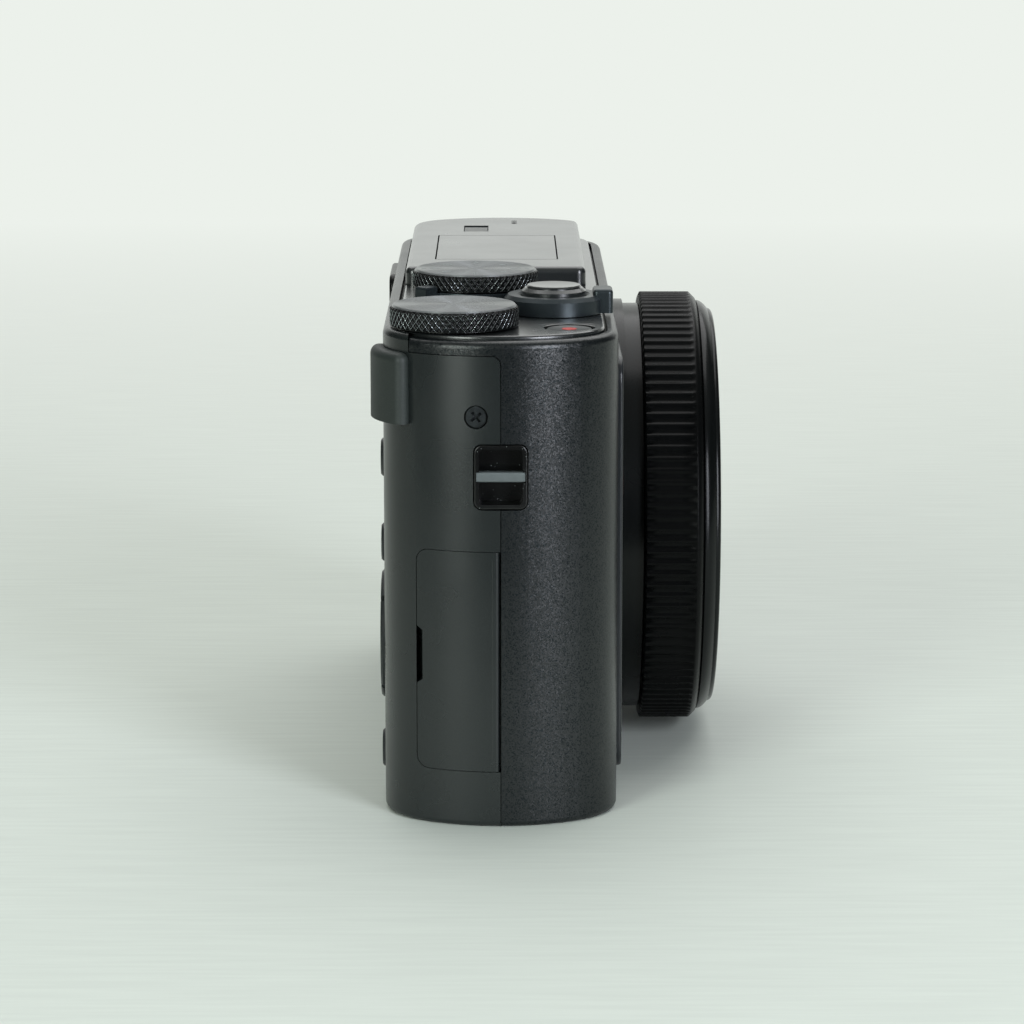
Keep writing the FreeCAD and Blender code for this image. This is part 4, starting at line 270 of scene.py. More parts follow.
@dataclass
class MaterialShop:
    """Makes each finish's material once.

    Args:
        grain_tilt: How far a paint grain leans, as a share of its normal.
        mark_tilt: How far a turned mark leans along its radius.
        anisotropy: Stretch of the gloss across turned marks.
        cloud_mm: Size of the slow change that spray and handling leave.
        dust_mm: Distance between specks of dust.
        made: Materials made so far.
    """

    grain_tilt: float = 0.11
    mark_tilt: float = 0.025
    anisotropy: float = 0.95
    cloud_mm: float = 11.11
    dust_mm: float = 0.55
    made: dict = field(default_factory=dict)

    def get(self, name: str, finish: Optional[Finish] = None) -> bpy.types.Material:
        """Hand back a material by name, making it at its first use.

        Args:
            name: Key in FINISHES, or a new name with its own finish.
            finish: Finish for a name that isn't in FINISHES.

        Returns:
            The material.
        """
        if name not in self.made:
            self.made[name] = self.make(name, finish or FINISHES[name])
        return self.made[name]

    def make(self, name: str, finish: Finish) -> bpy.types.Material:
        """Build one material's nodes.

        Args:
            name: Material name.
            finish: What it looks like.

        Returns:
            The new material.
        """
        material = bpy.data.materials.new(name)
        tree = blank(material)
        on = Ground(tree, add(tree, "TexCoord").outputs["Object"], finish)
        draw = {
            Grain.SPARKED: self.sparked, Grain.SANDED: self.sanded, Grain.TURNED: self.turned,
            Grain.BRUSHED: self.brushed, Grain.POLISHED: self.polished, Grain.RIBBED: self.ribbed,
            Grain.TRACKS: self.tracks,
        }[finish.grain]
        height, mix = draw(on)
        cloud = add(tree, "TexNoise", {"Vector": on.place, "Detail": 3.0,
                                       "Scale": per_mm(self.cloud_mm)}).outputs["Fac"]
        colour = add(tree, "Mix", {0: mix, 6: linear(finish.colour), 7: linear(finish.second)},
                     data_type="RGBA").outputs[2]
        low, high = finish.roughness - finish.spread, finish.roughness + finish.spread
        rough = add(tree, "MapRange", {"Value": cloud, "From Min": 0.3, "From Max": 0.7,
                                       "To Min": max(low, 0.0), "To Max": high}).outputs[0]
        normal = add(tree, "Bump", {"Height": height, "Strength": 1.0,
                                    "Distance": finish.depth_um * 1e-6}).outputs[0]
        sockets = {"Base Color": colour, "Roughness": rough, "Metallic": finish.metallic,
                   "Transmission Weight": finish.clear, "Coat Weight": finish.coat, "Coat Roughness": 0.2,
                   "Specular IOR Level": finish.gloss}
        if finish.metallic < 1.0:
            sockets["IOR"] = finish.ior
        if finish.grain is Grain.SANDED:
            normal = self.tilted(on, normal)
            sockets["Metallic"] = self.fleck_mask(on)
        if finish.grain is Grain.TURNED:
            normal = self.spun(on, normal)
            sockets["Anisotropic"] = self.anisotropy
            sockets["Anisotropic Rotation"] = 0.25
            sockets["Tangent"] = add(tree, "Tangent", direction_type="RADIAL", axis=finish.axis).outputs[0]
        sockets["Normal"] = normal
        shader = add(tree, "BsdfPrincipled", sockets)
        add(tree, "OutputMaterial", {"Surface": shader.outputs[0]})
        LOG.info("material %s: %s", name, finish.made_of)
        return material

    def sparked(self, on: Ground) -> tuple:
        """Rounded pits of a spark-eroded mould.

        Args:
            on: Where it is drawn.

        Returns:
            The height and the colour mix.
        """
        fine, broad = (add(on.tree, "TexNoise", {"Vector": on.place, "Detail": 2.0,
                                                 "Scale": per_mm(on.finish.pitch_mm * times)})
                       for times in (1, 4))
        both = add(on.tree, "Math", {0: fine.outputs["Fac"], 1: broad.outputs["Fac"]},
                   operation="MULTIPLY").outputs[0]
        spread = add(on.tree, "MapRange", {"Value": fine.outputs["Fac"], "From Min": 0.35,
                                           "From Max": 0.75}).outputs[0]
        return both, spread

    def sanded(self, on: Ground) -> tuple:
        """Grainy paint with a faint orange peel.

        Args:
            on: Where it is drawn.

        Returns:
            The height and the share of fleck colour.
        """
        peel = add(on.tree, "TexNoise", {"Vector": on.place, "Detail": 1.0,
                                         "Scale": per_mm(on.finish.pitch_mm * 6)})
        return peel.outputs["Fac"], self.fleck_mask(on)

    def fleck_mask(self, on: Ground) -> bpy.types.NodeSocket:
        """Scattered flat flakes, one colour to a cell.

        Args:
            on: Where it is drawn.

        Returns:
            Their mask.
        """
        cells = add(on.tree, "TexVoronoi", {"Vector": on.place, "Scale": per_mm(on.finish.pitch_mm)})
        pick = add(on.tree, "SeparateColor", {"Color": cells.outputs["Color"]}).outputs["Red"]
        return add(on.tree, "MapRange", {"Value": pick, "From Min": 0.55, "From Max": 1.0,
                                         "To Max": 0.75}).outputs[0]

    def tilted(self, on: Ground, normal: bpy.types.NodeSocket) -> bpy.types.NodeSocket:
        """Tip each grain of the paint its own way, so that grains glint one by one.

        Args:
            on: Where it is drawn.
            normal: Normal under the grains.

        Returns:
            The new normal.
        """
        cells = add(on.tree, "TexVoronoi", {"Vector": on.place, "Scale": per_mm(on.finish.pitch_mm)})
        lean = add(on.tree, "VectorMath", {0: cells.outputs["Color"], 1: (0.5, 0.5, 0.5)},
                   operation="SUBTRACT").outputs[0]
        scaled = add(on.tree, "VectorMath", {0: lean, 1: (self.grain_tilt,) * 3},
                     operation="MULTIPLY").outputs[0]
        total = add(on.tree, "VectorMath", {0: normal, 1: scaled}, operation="ADD").outputs[0]
        return add(on.tree, "VectorMath", {0: total}, operation="NORMALIZE").outputs[0]

    def spun(self, on: Ground, normal: bpy.types.NodeSocket) -> bpy.types.NodeSocket:
        """Tip each tool mark along its radius, so that light spreads into a cone.

        Args:
            on: Where it is drawn.
            normal: Normal under the marks.

        Returns:
            The new normal.
        """
        flat = tuple(0.0 if letter == on.finish.axis else 1.0 for letter in "XYZ")
        local = add(on.tree, "VectorMath", {0: on.place, 1: on.finish.centre},
                    operation="SUBTRACT").outputs[0]
        spoke = add(on.tree, "VectorMath", {0: local, 1: flat}, operation="MULTIPLY").outputs[0]
        reach = add(on.tree, "VectorMath", {0: spoke}, operation="LENGTH").outputs["Value"]
        outward = add(on.tree, "VectorMath", {0: spoke}, operation="NORMALIZE").outputs[0]
        marks = add(on.tree, "TexNoise", {"W": reach, "Scale": per_mm(on.finish.pitch_mm),
                                          "Detail": 2.0}, noise_dimensions="1D").outputs["Fac"]
        lean = add(on.tree, "MapRange", {"Value": marks, "From Min": 0.25, "From Max": 0.75,
                                         "To Min": -self.mark_tilt, "To Max": self.mark_tilt}).outputs[0]
        tip = add(on.tree, "VectorMath", {0: outward, 3: lean}, operation="SCALE").outputs[0]
        total = add(on.tree, "VectorMath", {0: normal, 1: tip}, operation="ADD").outputs[0]
        return add(on.tree, "VectorMath", {0: total}, operation="NORMALIZE").outputs[0]

    def turned(self, on: Ground) -> tuple:
        """Concentric marks round the finish's axis.

        Args:
            on: Where it is drawn.

        Returns:
            The height and the colour mix.
        """
        offset = tuple(-value for value in on.finish.centre)
        local = add(on.tree, "Mapping", {"Vector": on.place, "Location": offset}).outputs[0]
        rings = add(on.tree, "TexWave", {"Vector": local, "Distortion": 0.4, "Detail": 2.0,
                                         "Scale": WAVE_PERIOD * per_mm(on.finish.pitch_mm)},
                    wave_type="RINGS", rings_direction=on.finish.axis).outputs["Fac"]
        stain = add(on.tree, "TexNoise", {"Vector": on.place, "Detail": 2.0,
                                          "Scale": per_mm(on.finish.pitch_mm * 8)})
        return rings, stain.outputs["Fac"]

    def brushed(self, on: Ground) -> tuple:
        """Short straight marks along X.

        Args:
            on: Where it is drawn.

        Returns:
            The height and the colour mix.
        """
        stretched = add(on.tree, "Mapping", {"Vector": on.place, "Scale": (0.12, 1.0, 1.0)}).outputs[0]
        marks = add(on.tree, "TexNoise", {"Vector": stretched, "Detail": 3.0,
                                          "Scale": per_mm(on.finish.pitch_mm)})
        stain = add(on.tree, "TexNoise", {"Vector": on.place, "Detail": 2.0,
                                          "Scale": per_mm(on.finish.pitch_mm * 10)})
        return marks.outputs["Fac"], stain.outputs["Fac"]

    def polished(self, on: Ground) -> tuple:
        """Almost flat, with a slow waviness and a little dust.

        Args:
            on: Where it is drawn.

        Returns:
            The height and the colour mix.
        """
        wave = add(on.tree, "TexNoise", {"Vector": on.place, "Detail": 1.0,
                                         "Scale": per_mm(on.finish.pitch_mm)})
        specks = add(on.tree, "TexVoronoi", {"Vector": on.place, "Scale": per_mm(self.dust_mm)})
        dust = add(on.tree, "MapRange", {"Value": specks.outputs["Distance"], "From Min": 0.1,
                                         "From Max": 0.05}).outputs[0]
        return wave.outputs["Fac"], dust

    def ribbed(self, on: Ground) -> tuple:
        """Upright prism lines.

        Args:
            on: Where it is drawn.

        Returns:
            The height and the colour mix.
        """
        lines = add(on.tree, "TexWave", {"Vector": on.place,
                                         "Scale": WAVE_PERIOD * per_mm(on.finish.pitch_mm)},
                    wave_type="BANDS", bands_direction="X", wave_profile="TRI").outputs["Fac"]
        return lines, lines

    def tracks(self, on: Ground) -> tuple:
        """Copper tracks as square cells' edges.

        Args:
            on: Where it is drawn.

        Returns:
            The height and the colour mix.
        """
        cells = add(on.tree, "TexVoronoi", {"Vector": on.place, "Scale": per_mm(on.finish.pitch_mm)},
                    distance="CHEBYCHEV").outputs["Distance"]
        edge = add(on.tree, "MapRange", {"Value": cells, "From Min": 0.42, "From Max": 0.5}).outputs[0]
        return edge, edge


# Mesh helpers

def new_object(name: str, points: Sequence, faces: Sequence, material: bpy.types.Material,
               smooth_angle: float = 35.0) -> bpy.types.Object:
    """Make an object from points and faces, smooth up to an angle.

    Args:
        name: Object name.
        points: Corner positions in metres, in the row frame.
        faces: Corner indices of each face.
        material: Its material.
        smooth_angle: Edges sharper than this stay sharp, in degrees.

    Returns:
        The linked object.
    """
    mesh = bpy.data.meshes.new(name)
    mesh.from_pydata([tuple(p) for p in points], [], faces)
    mesh.materials.append(material)
    mesh.validate()
    mesh.shade_smooth()
    mesh.set_sharp_from_angle(angle=math.radians(smooth_angle))
    item = bpy.data.objects.new(name, mesh)
    bpy.context.scene.collection.objects.link(item)
    return item


def lathe(rows: Sequence[Callable[[float], tuple]], steps: int, along_crests: bool = False) -> tuple:
    """Sweep rows of points round an axis into a closed skin.

    Args:
        rows: For each row, a function from angle to (radius, level).
        steps: Points round the axis.
        along_crests: Split each face along its prouder diagonal, for sharp crossing lines.

    Returns:
        Points (x, y, level) round the Z axis, and faces.
    """
    points, faces = [], []
    for row in rows:
        for step in range(steps):
            angle = 2 * math.pi * step / steps
            radius, level = row(angle)
            points.append(Vector((radius * math.cos(angle), radius * math.sin(angle), level)))
    for number in range(len(rows) - 1):
        base, top = number * steps, (number + 1) * steps
        for step in range(steps):
            after = (step + 1) % steps
            quad = (base + step, base + after, top + after, top + step)
            if not along_crests:
                faces.append(quad)
                continue
            reach = [points[corner].xy.length for corner in quad]
            first = 0 if reach[0] + reach[2] >= reach[1] + reach[3] else 1
            quad = quad[first:] + quad[:first]
            faces += [quad[:3], (quad[0], quad[2], quad[3])]
    return points, faces


def plain(radius: float, level: float) -> Callable[[float], tuple]:
    """A row of constant radius and level."""
    return lambda angle: (radius, level)


def corners(radius: float, level: float, *offsets: tuple) -> list:
    """Corners of a section, each given in mm outwards and up from one radius and level."""
    return [(radius + out * MM, level + up * MM) for out, up in offsets]


def disc(radius: float, count: int = 40) -> list:
    """Corners of a disc."""
    turns = [2 * math.pi * i / count for i in range(count)]
    return [(radius * math.cos(turn), radius * math.sin(turn)) for turn in turns]


def prism(outline: Sequence[tuple], low: float, high: float) -> tuple:
    """Raise an outline into a solid.

    Args:
        outline: Corners, anticlockwise.
        low: Level of its foot.
        high: Level of its top.

    Returns:
        Points (x, y, level) and faces.
    """
    count = len(outline)
    points = [Vector((x, y, level)) for level in (low, high) for x, y in outline]
    faces = [tuple(range(count, 2 * count)), tuple(reversed(range(count)))]
    faces += [(i, (i + 1) % count, count + (i + 1) % count, count + i) for i in range(count)]
    return points, faces


def along_y(points: Sequence[Vector], faces: Sequence[tuple], height: float = 0.0) -> tuple:
    """Lay what is made along Z along Y at a height, with its faces turned to look outwards."""
    return [Vector((p.x, p.z, p.y + height)) for p in points], [tuple(reversed(face)) for face in faces]


def plan_centre(node: str) -> Vector:
    """Middle of a CAD node's box seen from above, at height zero."""
    low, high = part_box(node)
    return Vector(((low.x + high.x) / 2, (low.y + high.y) / 2, 0))


def dress(item: bpy.types.Object, body: str, slot: str, *nodes: str) -> None:
    """Tie a piece to its body, and hide the CAD nodes that it stands for.

    Args:
        item: The piece, in place.
        body: CAD body that it rides on.
        slot: Material slot of the record; not used.
        nodes: CAD nodes that it replaces.
    """
    LOG.info("piece %s: %d faces", item.name, len(item.data.polygons))
    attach(item, body)
    if nodes:
        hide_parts(*nodes)


# Sub-assemblies

@dataclass
class Assembly:
    """Pieces that take their materials from one shop.

    Args:
        shop: Source of materials.
    """

    shop: MaterialShop


@dataclass
class CadFinish(Assembly):
    """Gives each carried-over CAD node the finish of its slot.

    Args:
        frame: What the loader returned.
    """

    frame: dict
    # The levers share the dials' slot, but are satin.
    own = {"zoom_lever": "lever_satin", "power_lever": "lever_satin"}

    def build(self) -> None:
        """Assign materials by the record's sub-parts."""
        for part in self.frame["record"]["subparts"]:
            name = part["node"]
            finish = self.own.get(name, part["material_slot"])
            materials = self.frame["nodes"][name].data.materials
            materials.clear()
            materials.append(self.shop.get(finish))
            LOG.info("node %s: %s", name, finish)


@dataclass
class KnurledDial(Assembly):
    """A turned dial with a diamond-knurled rim, in place of its CAD node.

    Args:
        node: CAD node and body.
        thickness: Height of the dial over its shaft.
        shaft: Shaft radius.
        pitch: Distance between knurl lines round the rim.
        depth: Depth of the knurl.
        crest: Half width of a crest, as a share of the pitch.
        wear_and_glint_share: Share of the depth over which the crests take a pale metal: partly dye rubbed
            thin, partly a painted glint.
        chamfer: Width of the chamfer under the top.
        slope: Rise of a knurl line over one pitch.
        steps_per_line: Points round the rim from one line to the next.
    """

    node: str
    thickness: float
    shaft: float
    pitch: float = 0.92 * MM
    depth: float = 0.24 * MM
    crest: float = 0.25
    wear_and_glint_share: float = 0.13
    chamfer: float = 0.5 * MM
    slope: float = 1.2
    steps_per_line: int = 16

    def __post_init__(self) -> None:
        """Measure the CAD dial and lay out the knurled band."""
        low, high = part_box(self.node)
        self.radius, self.foot, self.top = (high.x - low.x) / 2, low.z, high.z
        self.base = self.top - self.thickness
        self.start, self.stop = self.base + 0.2 * MM, self.top - 0.22 * MM
        self.lines = round(2 * math.pi * self.radius / self.pitch)

    def knurl(self, level: float, angle: float) -> tuple:
        """Point of the knurled band, cut by the chamfer near the top.

        Args:
            level: Height of the row.
            angle: Angle round the axis.

        Returns:
            Radius and level.
        """
        turns = angle * self.lines / (2 * math.pi)
        rise = (level - self.start) / (self.pitch * self.slope)
        across = min(abs((turns + rise) % 1 - 0.5), abs((turns - rise) % 1 - 0.5))
        proud = 0.5 + 0.5 * math.cos(math.pi * min(across / self.crest, 1.0))
        cone = self.radius - max(level - (self.top - self.chamfer), 0.0)
        return min(self.radius - self.depth * (1 - proud), cone), level

    def build(self) -> None:
        """Make the dial's skin, its turned top and its pale crests, partly worn dye and partly a painted
        glint.
        """
        centre, top, rim = plan_centre(self.node), self.top, self.radius - self.chamfer
        foot = [(TIP, self.foot), (self.shaft, self.foot), (self.shaft, self.base)]
        foot += corners(self.radius, self.base, (-0.2, 0), (-0.05, 0.05), (-0.05, 0.12))
        face = corners(rim, top, (0.08, -0.07), (0, 0), (-0.15, 0), (-0.25, -0.04))
        face.append((TIP, top - 0.04 * MM))
        # Each row moves the lines by one step, so that every crest runs along edges of the mesh.
        height = self.stop - self.start
        count = round(height / (self.pitch * self.slope / self.steps_per_line))
        band = [partial(self.knurl, self.start + height * i / count) for i in range(count + 1)]
        rows = [plain(*corner) for corner in foot] + band + [plain(*corner) for corner in face]
        points, faces = lathe(rows, self.lines * self.steps_per_line, along_crests=True)
        item = new_object(self.node + "_knurled", [p + centre for p in points], faces,
                          self.shop.get("dial_metal"), 60)
        turned = replace(FINISHES["turned_top"], centre=tuple(centre))
        item.data.materials.append(self.shop.get(self.node + "_top", turned))
        item.data.materials.append(self.shop.get("knurl_crest_wear_and_glint"))
        for polygon in item.data.polygons:
            middle = polygon.center
            reach = (middle - centre).xy.length
            if middle.z > self.stop:
                polygon.material_index = 1
            # Faces near the crests take the pale crest metal: partly rubbed-thin dye, partly a painted glint.
            elif middle.z > self.start and reach > self.radius - self.wear_and_glint_share * self.depth:
                polygon.material_index = 2
        dress(item, self.node, "dial_metal", self.node)


@dataclass
class ControlRing(Assembly):
    """The lens's control ring with straight ribs, in place of its CAD node.

    Args:
        bore: Radius of its bore.
        ribs: Number of ribs round the ring.
        crest: Half width of a rib, as a share of the pitch.
        depth: Depth of the valleys.
        margin: Chamfer at the rear, below the ribs.
        chamfer: Front chamfer.
        steps_per_rib: Points round the ring from one rib to the next.
    """

    bore: float = 26.25 * MM
    ribs: int = 120
    crest: float = 0.36
    depth: float = 0.28 * MM
    margin: float = 0.25 * MM
    chamfer: float = 0.8 * MM
    steps_per_rib: int = 8

    def rib(self, radius: float, level: float, share: float, angle: float) -> tuple:
        """Point of a row across the ribs.

        Args:
            radius: Radius of the crests.
            level: Place along the lens axis.
            share: How deep the row's valleys are.
            angle: Angle round the axis.

        Returns:
            Radius and level.
        """
        turn = (angle * self.ribs / (2 * math.pi)) % 1
        proud = max(0.0, 1 - abs(turn - 0.5) / self.crest)
        rounded = proud * proud * (3 - 2 * proud)
        return radius - self.depth * share * (1 - rounded), level

    def build(self) -> None:
        """Make the ribbed skin round the bore."""
        low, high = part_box("control_ring")
        radius, rear, front = (high.z - low.z) / 2, high.y, low.y
        first, fade = rear - self.margin, front + self.chamfer + 0.1 * MM
        last = fade + 0.5 * MM
        rows = [plain(self.bore, rear), plain(radius - self.depth - self.margin, rear)]
        rows += [partial(self.rib, radius, first + (last - first) * i / 4, 1.0) for i in range(5)]
        rows += [partial(self.rib, radius, fade, 0.0), plain(radius, front + self.chamfer),
                 plain(radius - self.chamfer, front), plain(self.bore, front), plain(self.bore, rear)]
        points, faces = along_y(*lathe(rows, self.ribs * self.steps_per_rib), (low.z + high.z) / 2)
        item = new_object("control_ring_ribbed", points, faces, self.shop.get("ring_metal"), 50)
        dress(item, "control_ring", "ring_metal", "control_ring")


@dataclass
class LensBezel(Assembly):
    """The fixed bezel before the control ring: a crowned flank and a soft front edge.

    Args:
        bore: Radius of its bore.
        rear_radius: Radius next to the control ring.
        front_radius: Radius where the front edge begins to round over.
        edge: Radius of the front edge's rounding.
        face: Width of the sloping inner face.
        steps: Points round the axis.
    """

    bore: float = 24.6 * MM
    rear_radius: float = 28.8 * MM
    front_radius: float = 27.7 * MM
    edge: float = 0.6 * MM
    face: float = 0.7 * MM
    steps: int = 240

    def build(self) -> None:
        """Turn the bezel round the lens axis."""
        low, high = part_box("lens_bezel")
        rear, front = high.y, low.y
        section = [(self.bore, rear), (self.rear_radius - 0.15 * MM, rear)]
        flank, crown = front + self.edge - rear, self.rear_radius - self.front_radius
        for share in (i / 8 for i in range(9)):
            section.append((self.rear_radius - crown * share ** 2, rear + flank * (0.1 + 0.9 * share)))
        for turn in (math.pi / 2 * i / 6 for i in range(1, 7)):
            inwards, forwards = self.edge * (1 - math.cos(turn)), self.edge * (1 - math.sin(turn))
            section.append((self.front_radius - inwards, front + forwards))
        section += [(self.bore + self.face, front), (self.bore, front + 0.9 * MM), (self.bore, rear)]
        skin = lathe([plain(*corner) for corner in section], self.steps)
        points, faces = along_y(*skin, (low.z + high.z) / 2)
        item = new_object("lens_bezel_turned", points, faces, self.shop.get("bezel_black"), 35)
        dress(item, ROOT, "bezel_black", "lens_bezel")


@dataclass
class TopButtons(Assembly):
    """Shutter button with a hollowed top, movie button with a bevel, and the flash's release slider.

    Args:
        rim: Radius of the shutter button's top.
        stem: Radius of its stem.
        hollow: Depth of its concave top.
        movie_radius: Radius of the movie button.
        guide_gap: Gap between the movie button and its guide ring.
        dish: Radius of the dish that the guide ring fills.
        plate_level: Height of the top plate's face.
        catch_rise: Rise of the release slider.
        catch_steps: Steps on the slider.
        steps: Points round each button.
    """

    rim: float = 3.55 * MM
    stem: float = 2.0 * MM
    hollow: float = 0.16 * MM
    movie_radius: float = 2.95 * MM
    guide_gap: float = 0.3 * MM
    dish: float = 4.1 * MM
    plate_level: float = 62.9 * MM
    catch_rise: float = 0.12 * MM
    catch_steps: int = 4
    steps: int = 160

    def turn(self, name: str, section: Sequence[tuple], node: str, slot: str,
             angle: float) -> bpy.types.Object:
        """Turn a section round the middle of a CAD node.

        Args:
            name: Piece name.
            section: Corners as radius and level, from the foot to the top.
            node: CAD node whose middle is the axis.
            slot: Record slot of the finish.
            angle: Edges sharper than this stay sharp, in degrees.

        Returns:
            The piece.
        """
        points, faces = lathe([plain(*corner) for corner in section], self.steps)
        middle = plan_centre(node)
        return new_object(name, [p + middle for p in points], faces, self.shop.get(slot), angle)

    def shutter(self) -> None:
        """Make the shutter button: concave top, thin dark groove, flared skirt over the stem."""
        low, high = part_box("shutter_button")
        rim, top, skirt = self.rim, high.z, (high.x - low.x) / 2
        section = [(TIP, low.z), (self.stem, low.z), (self.stem, top - 1.38 * MM)]
        section += corners(skirt, top, (-0.05, -1.38), (0, -1.28), (0, -0.75))
        section += corners(rim, top, (0.2, -0.36), (-0.05, -0.34), (-0.05, -0.22), (0, -0.16), (-0.14, 0))
        for share in (0.85, 0.7, 0.5, 0.3, 0.1, 0.001):
            section.append((rim * share, top - self.hollow * (1 - share ** 2)))
        item = self.turn("shutter_button_turned", section, "shutter_button", "top_black", 25)
        dress(item, "shutter_button", "top_black", "shutter_button")

    def movie(self) -> None:
        """Make the bevelled movie button, and the guide ring that fills its dish flush with the plate."""
        low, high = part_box("movie_button")
        radius, top, plate = self.movie_radius, high.z, self.plate_level
        section = [(TIP, low.z), (radius, low.z)]
        section += corners(radius, top, (0, -0.2), (-0.12, -0.03), (-0.2, 0), (-0.4, -0.01), (-0.52, -0.06))
        section.append((TIP, top - 0.06 * MM))
        item = self.turn("movie_button_turned", section, "movie_button", "key_plastic", 25)
        dress(item, "movie_button", "key_plastic", "movie_button")
        inner = radius + self.guide_gap
        section = corners(inner, plate, (0, -0.44), (0.04, -0.44))
        section += corners(self.dish, plate, (-0.02, -0.01))
        section += corners(inner, plate, (0.1, -0.01), (0, -0.08), (0, -0.44))
        guide = self.turn("movie_button_guide", section, "movie_button", "top_black", 30)
        dress(guide, ROOT, "top_black")

    def release(self) -> None:
        """Make the slider, whose top climbs in shallow steps to its catch."""
        low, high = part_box("flash_release")
        outline = [(low.x, low.z), (high.x, low.z), (high.x, high.z + self.catch_rise)]
        for number in range(self.catch_steps):
            share = 1 - number / self.catch_steps
            x, level = low.x + (high.x - low.x) * share, high.z + self.catch_rise * share
            outline += corners(x, level, (-0.5, -0.02), (-0.75, -0.1))
        outline.append((low.x, high.z))
        points, faces = along_y(*prism(outline, low.y, high.y))
        catch = new_object("flash_release_catch", points, faces, self.shop.get("top_black"), 40)
        dress(catch, "flash_release", "key_plastic", "flash_release")

    def build(self) -> None:
        """Make every piece."""
        self.shutter()
        self.movie()
        self.release()


@dataclass
class CrossScrews(Assembly):
    """Case screws with cross recesses, in place of the plain CAD screws.

    Args:
        head: Head radius.
        shank: Shank radius.
        recess: Half length of the recess's arms.
        arm: Half width of an arm.
        heart: Radius of the recess's round middle.
        depth: Depth of the recess.
        dome: Rise of the head's middle over its rim.
        base: Places of the base screws, in mm.
        end: Y and Z of both end screws, in mm.
        base_length: Length of a base screw.
        end_length: Length of an end screw.
        end_turns: Turn of the cross at the grip end and at the far end, in degrees.
        rings: Rows of points across the head.
        steps: Points round a screw.
    """

    head: float = 1.35 * MM
    shank: float = 0.7 * MM
    recess: float = 0.78 * MM
    arm: float = 0.17 * MM
    heart: float = 0.36 * MM
    depth: float = 0.55 * MM
    dome: float = 0.06 * MM
    base: tuple = ((-14, -11.2), (38, -11.2), (-14, 5.4), (32, 5.4))
    end: tuple = (3.1, 52.9)
    base_length: float = 4.6 * MM
    end_length: float = 3.6 * MM
    end_turns: tuple = (38, 15)
    rings: int = 22
    steps: int = 96

    def face(self, radius: float, angle: float) -> tuple:
        """Point of the head's face, with the cross cut in.

        Args:
            radius: Distance from the screw's axis.
            angle: Angle round it.

        Returns:
            Radius, and level under the middle of the dome.
        """
        x, y = radius * math.cos(angle), radius * math.sin(angle)
        along, across = max(abs(x), abs(y)), min(abs(x), abs(y))
        # How far the point is inside the arms' sides, their ends and the middle, over a short slope.
        side, end, heart = (min(max(inside / (slope * MM), 0.0), 1.0) for inside, slope in (
            (self.arm - across, 0.07), (self.recess - along, 0.12), (self.heart - radius, 0.12)))
        crown = self.dome * (1 - (radius / self.head) ** 2)
        return radius, crown - self.depth * max(min(side, end), heart) - self.dome

    def screw(self, length: float) -> tuple:
        """Turn one screw whose face looks along +Z from the origin.

        Args:
            length: Length of head and shank.

        Returns:
            Its points and faces.
        """
        flat = self.head * 0.94
        rows = [partial(self.face, max(flat * i / self.rings, TIP)) for i in range(self.rings + 1)]
        rows += [plain(self.head, -0.14 * MM), plain(self.head, -0.7 * MM), plain(self.shank, -0.7 * MM),
                 plain(self.shank, -length), plain(TIP, -length)]
        points, faces = lathe(rows, self.steps)
        return points, [face[::-1] for face in faces]

    def build(self) -> None:
        """Make every case screw as one piece."""
        low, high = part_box("case_screws")
        over = Matrix.Rotation(math.pi, 4, "X")
        places = [(Matrix.Translation((x * MM, y * MM, low.z)) @ over, self.base_length)
                  for x, y in self.base]
        for x, side, turn in ((low.x, -1, self.end_turns[0]), (high.x, 1, self.end_turns[1])):
            seat = Matrix.Translation((x, self.end[0] * MM, self.end[1] * MM))
            outwards = Matrix.Rotation(side * math.pi / 2, 4, "Y")
            cross = Matrix.Rotation(math.radians(turn), 4, "Z")
            places.append((seat @ outwards @ cross, self.end_length))
        points, faces = [], []
        for matrix, length in places:
            own, sides = self.screw(length)
            faces += [tuple(len(points) + i for i in face) for face in sides]
            points += [matrix @ p for p in own]
        item = new_object("cross_screws", points, faces, self.shop.get("screw_steel"), 30)
        dress(item, ROOT, "screw_steel", "case_screws")


@dataclass(frozen=True)
class Spot:
    """Where a mark goes.

    Args:
        place: From the mark's plane, z outwards, to the row frame.
        paint: Its material.
        body: Body it rides on.
        slot: Record slot of the surface under it.
    """

    place: Matrix
    paint: bpy.types.Material
    body: str
    slot: str


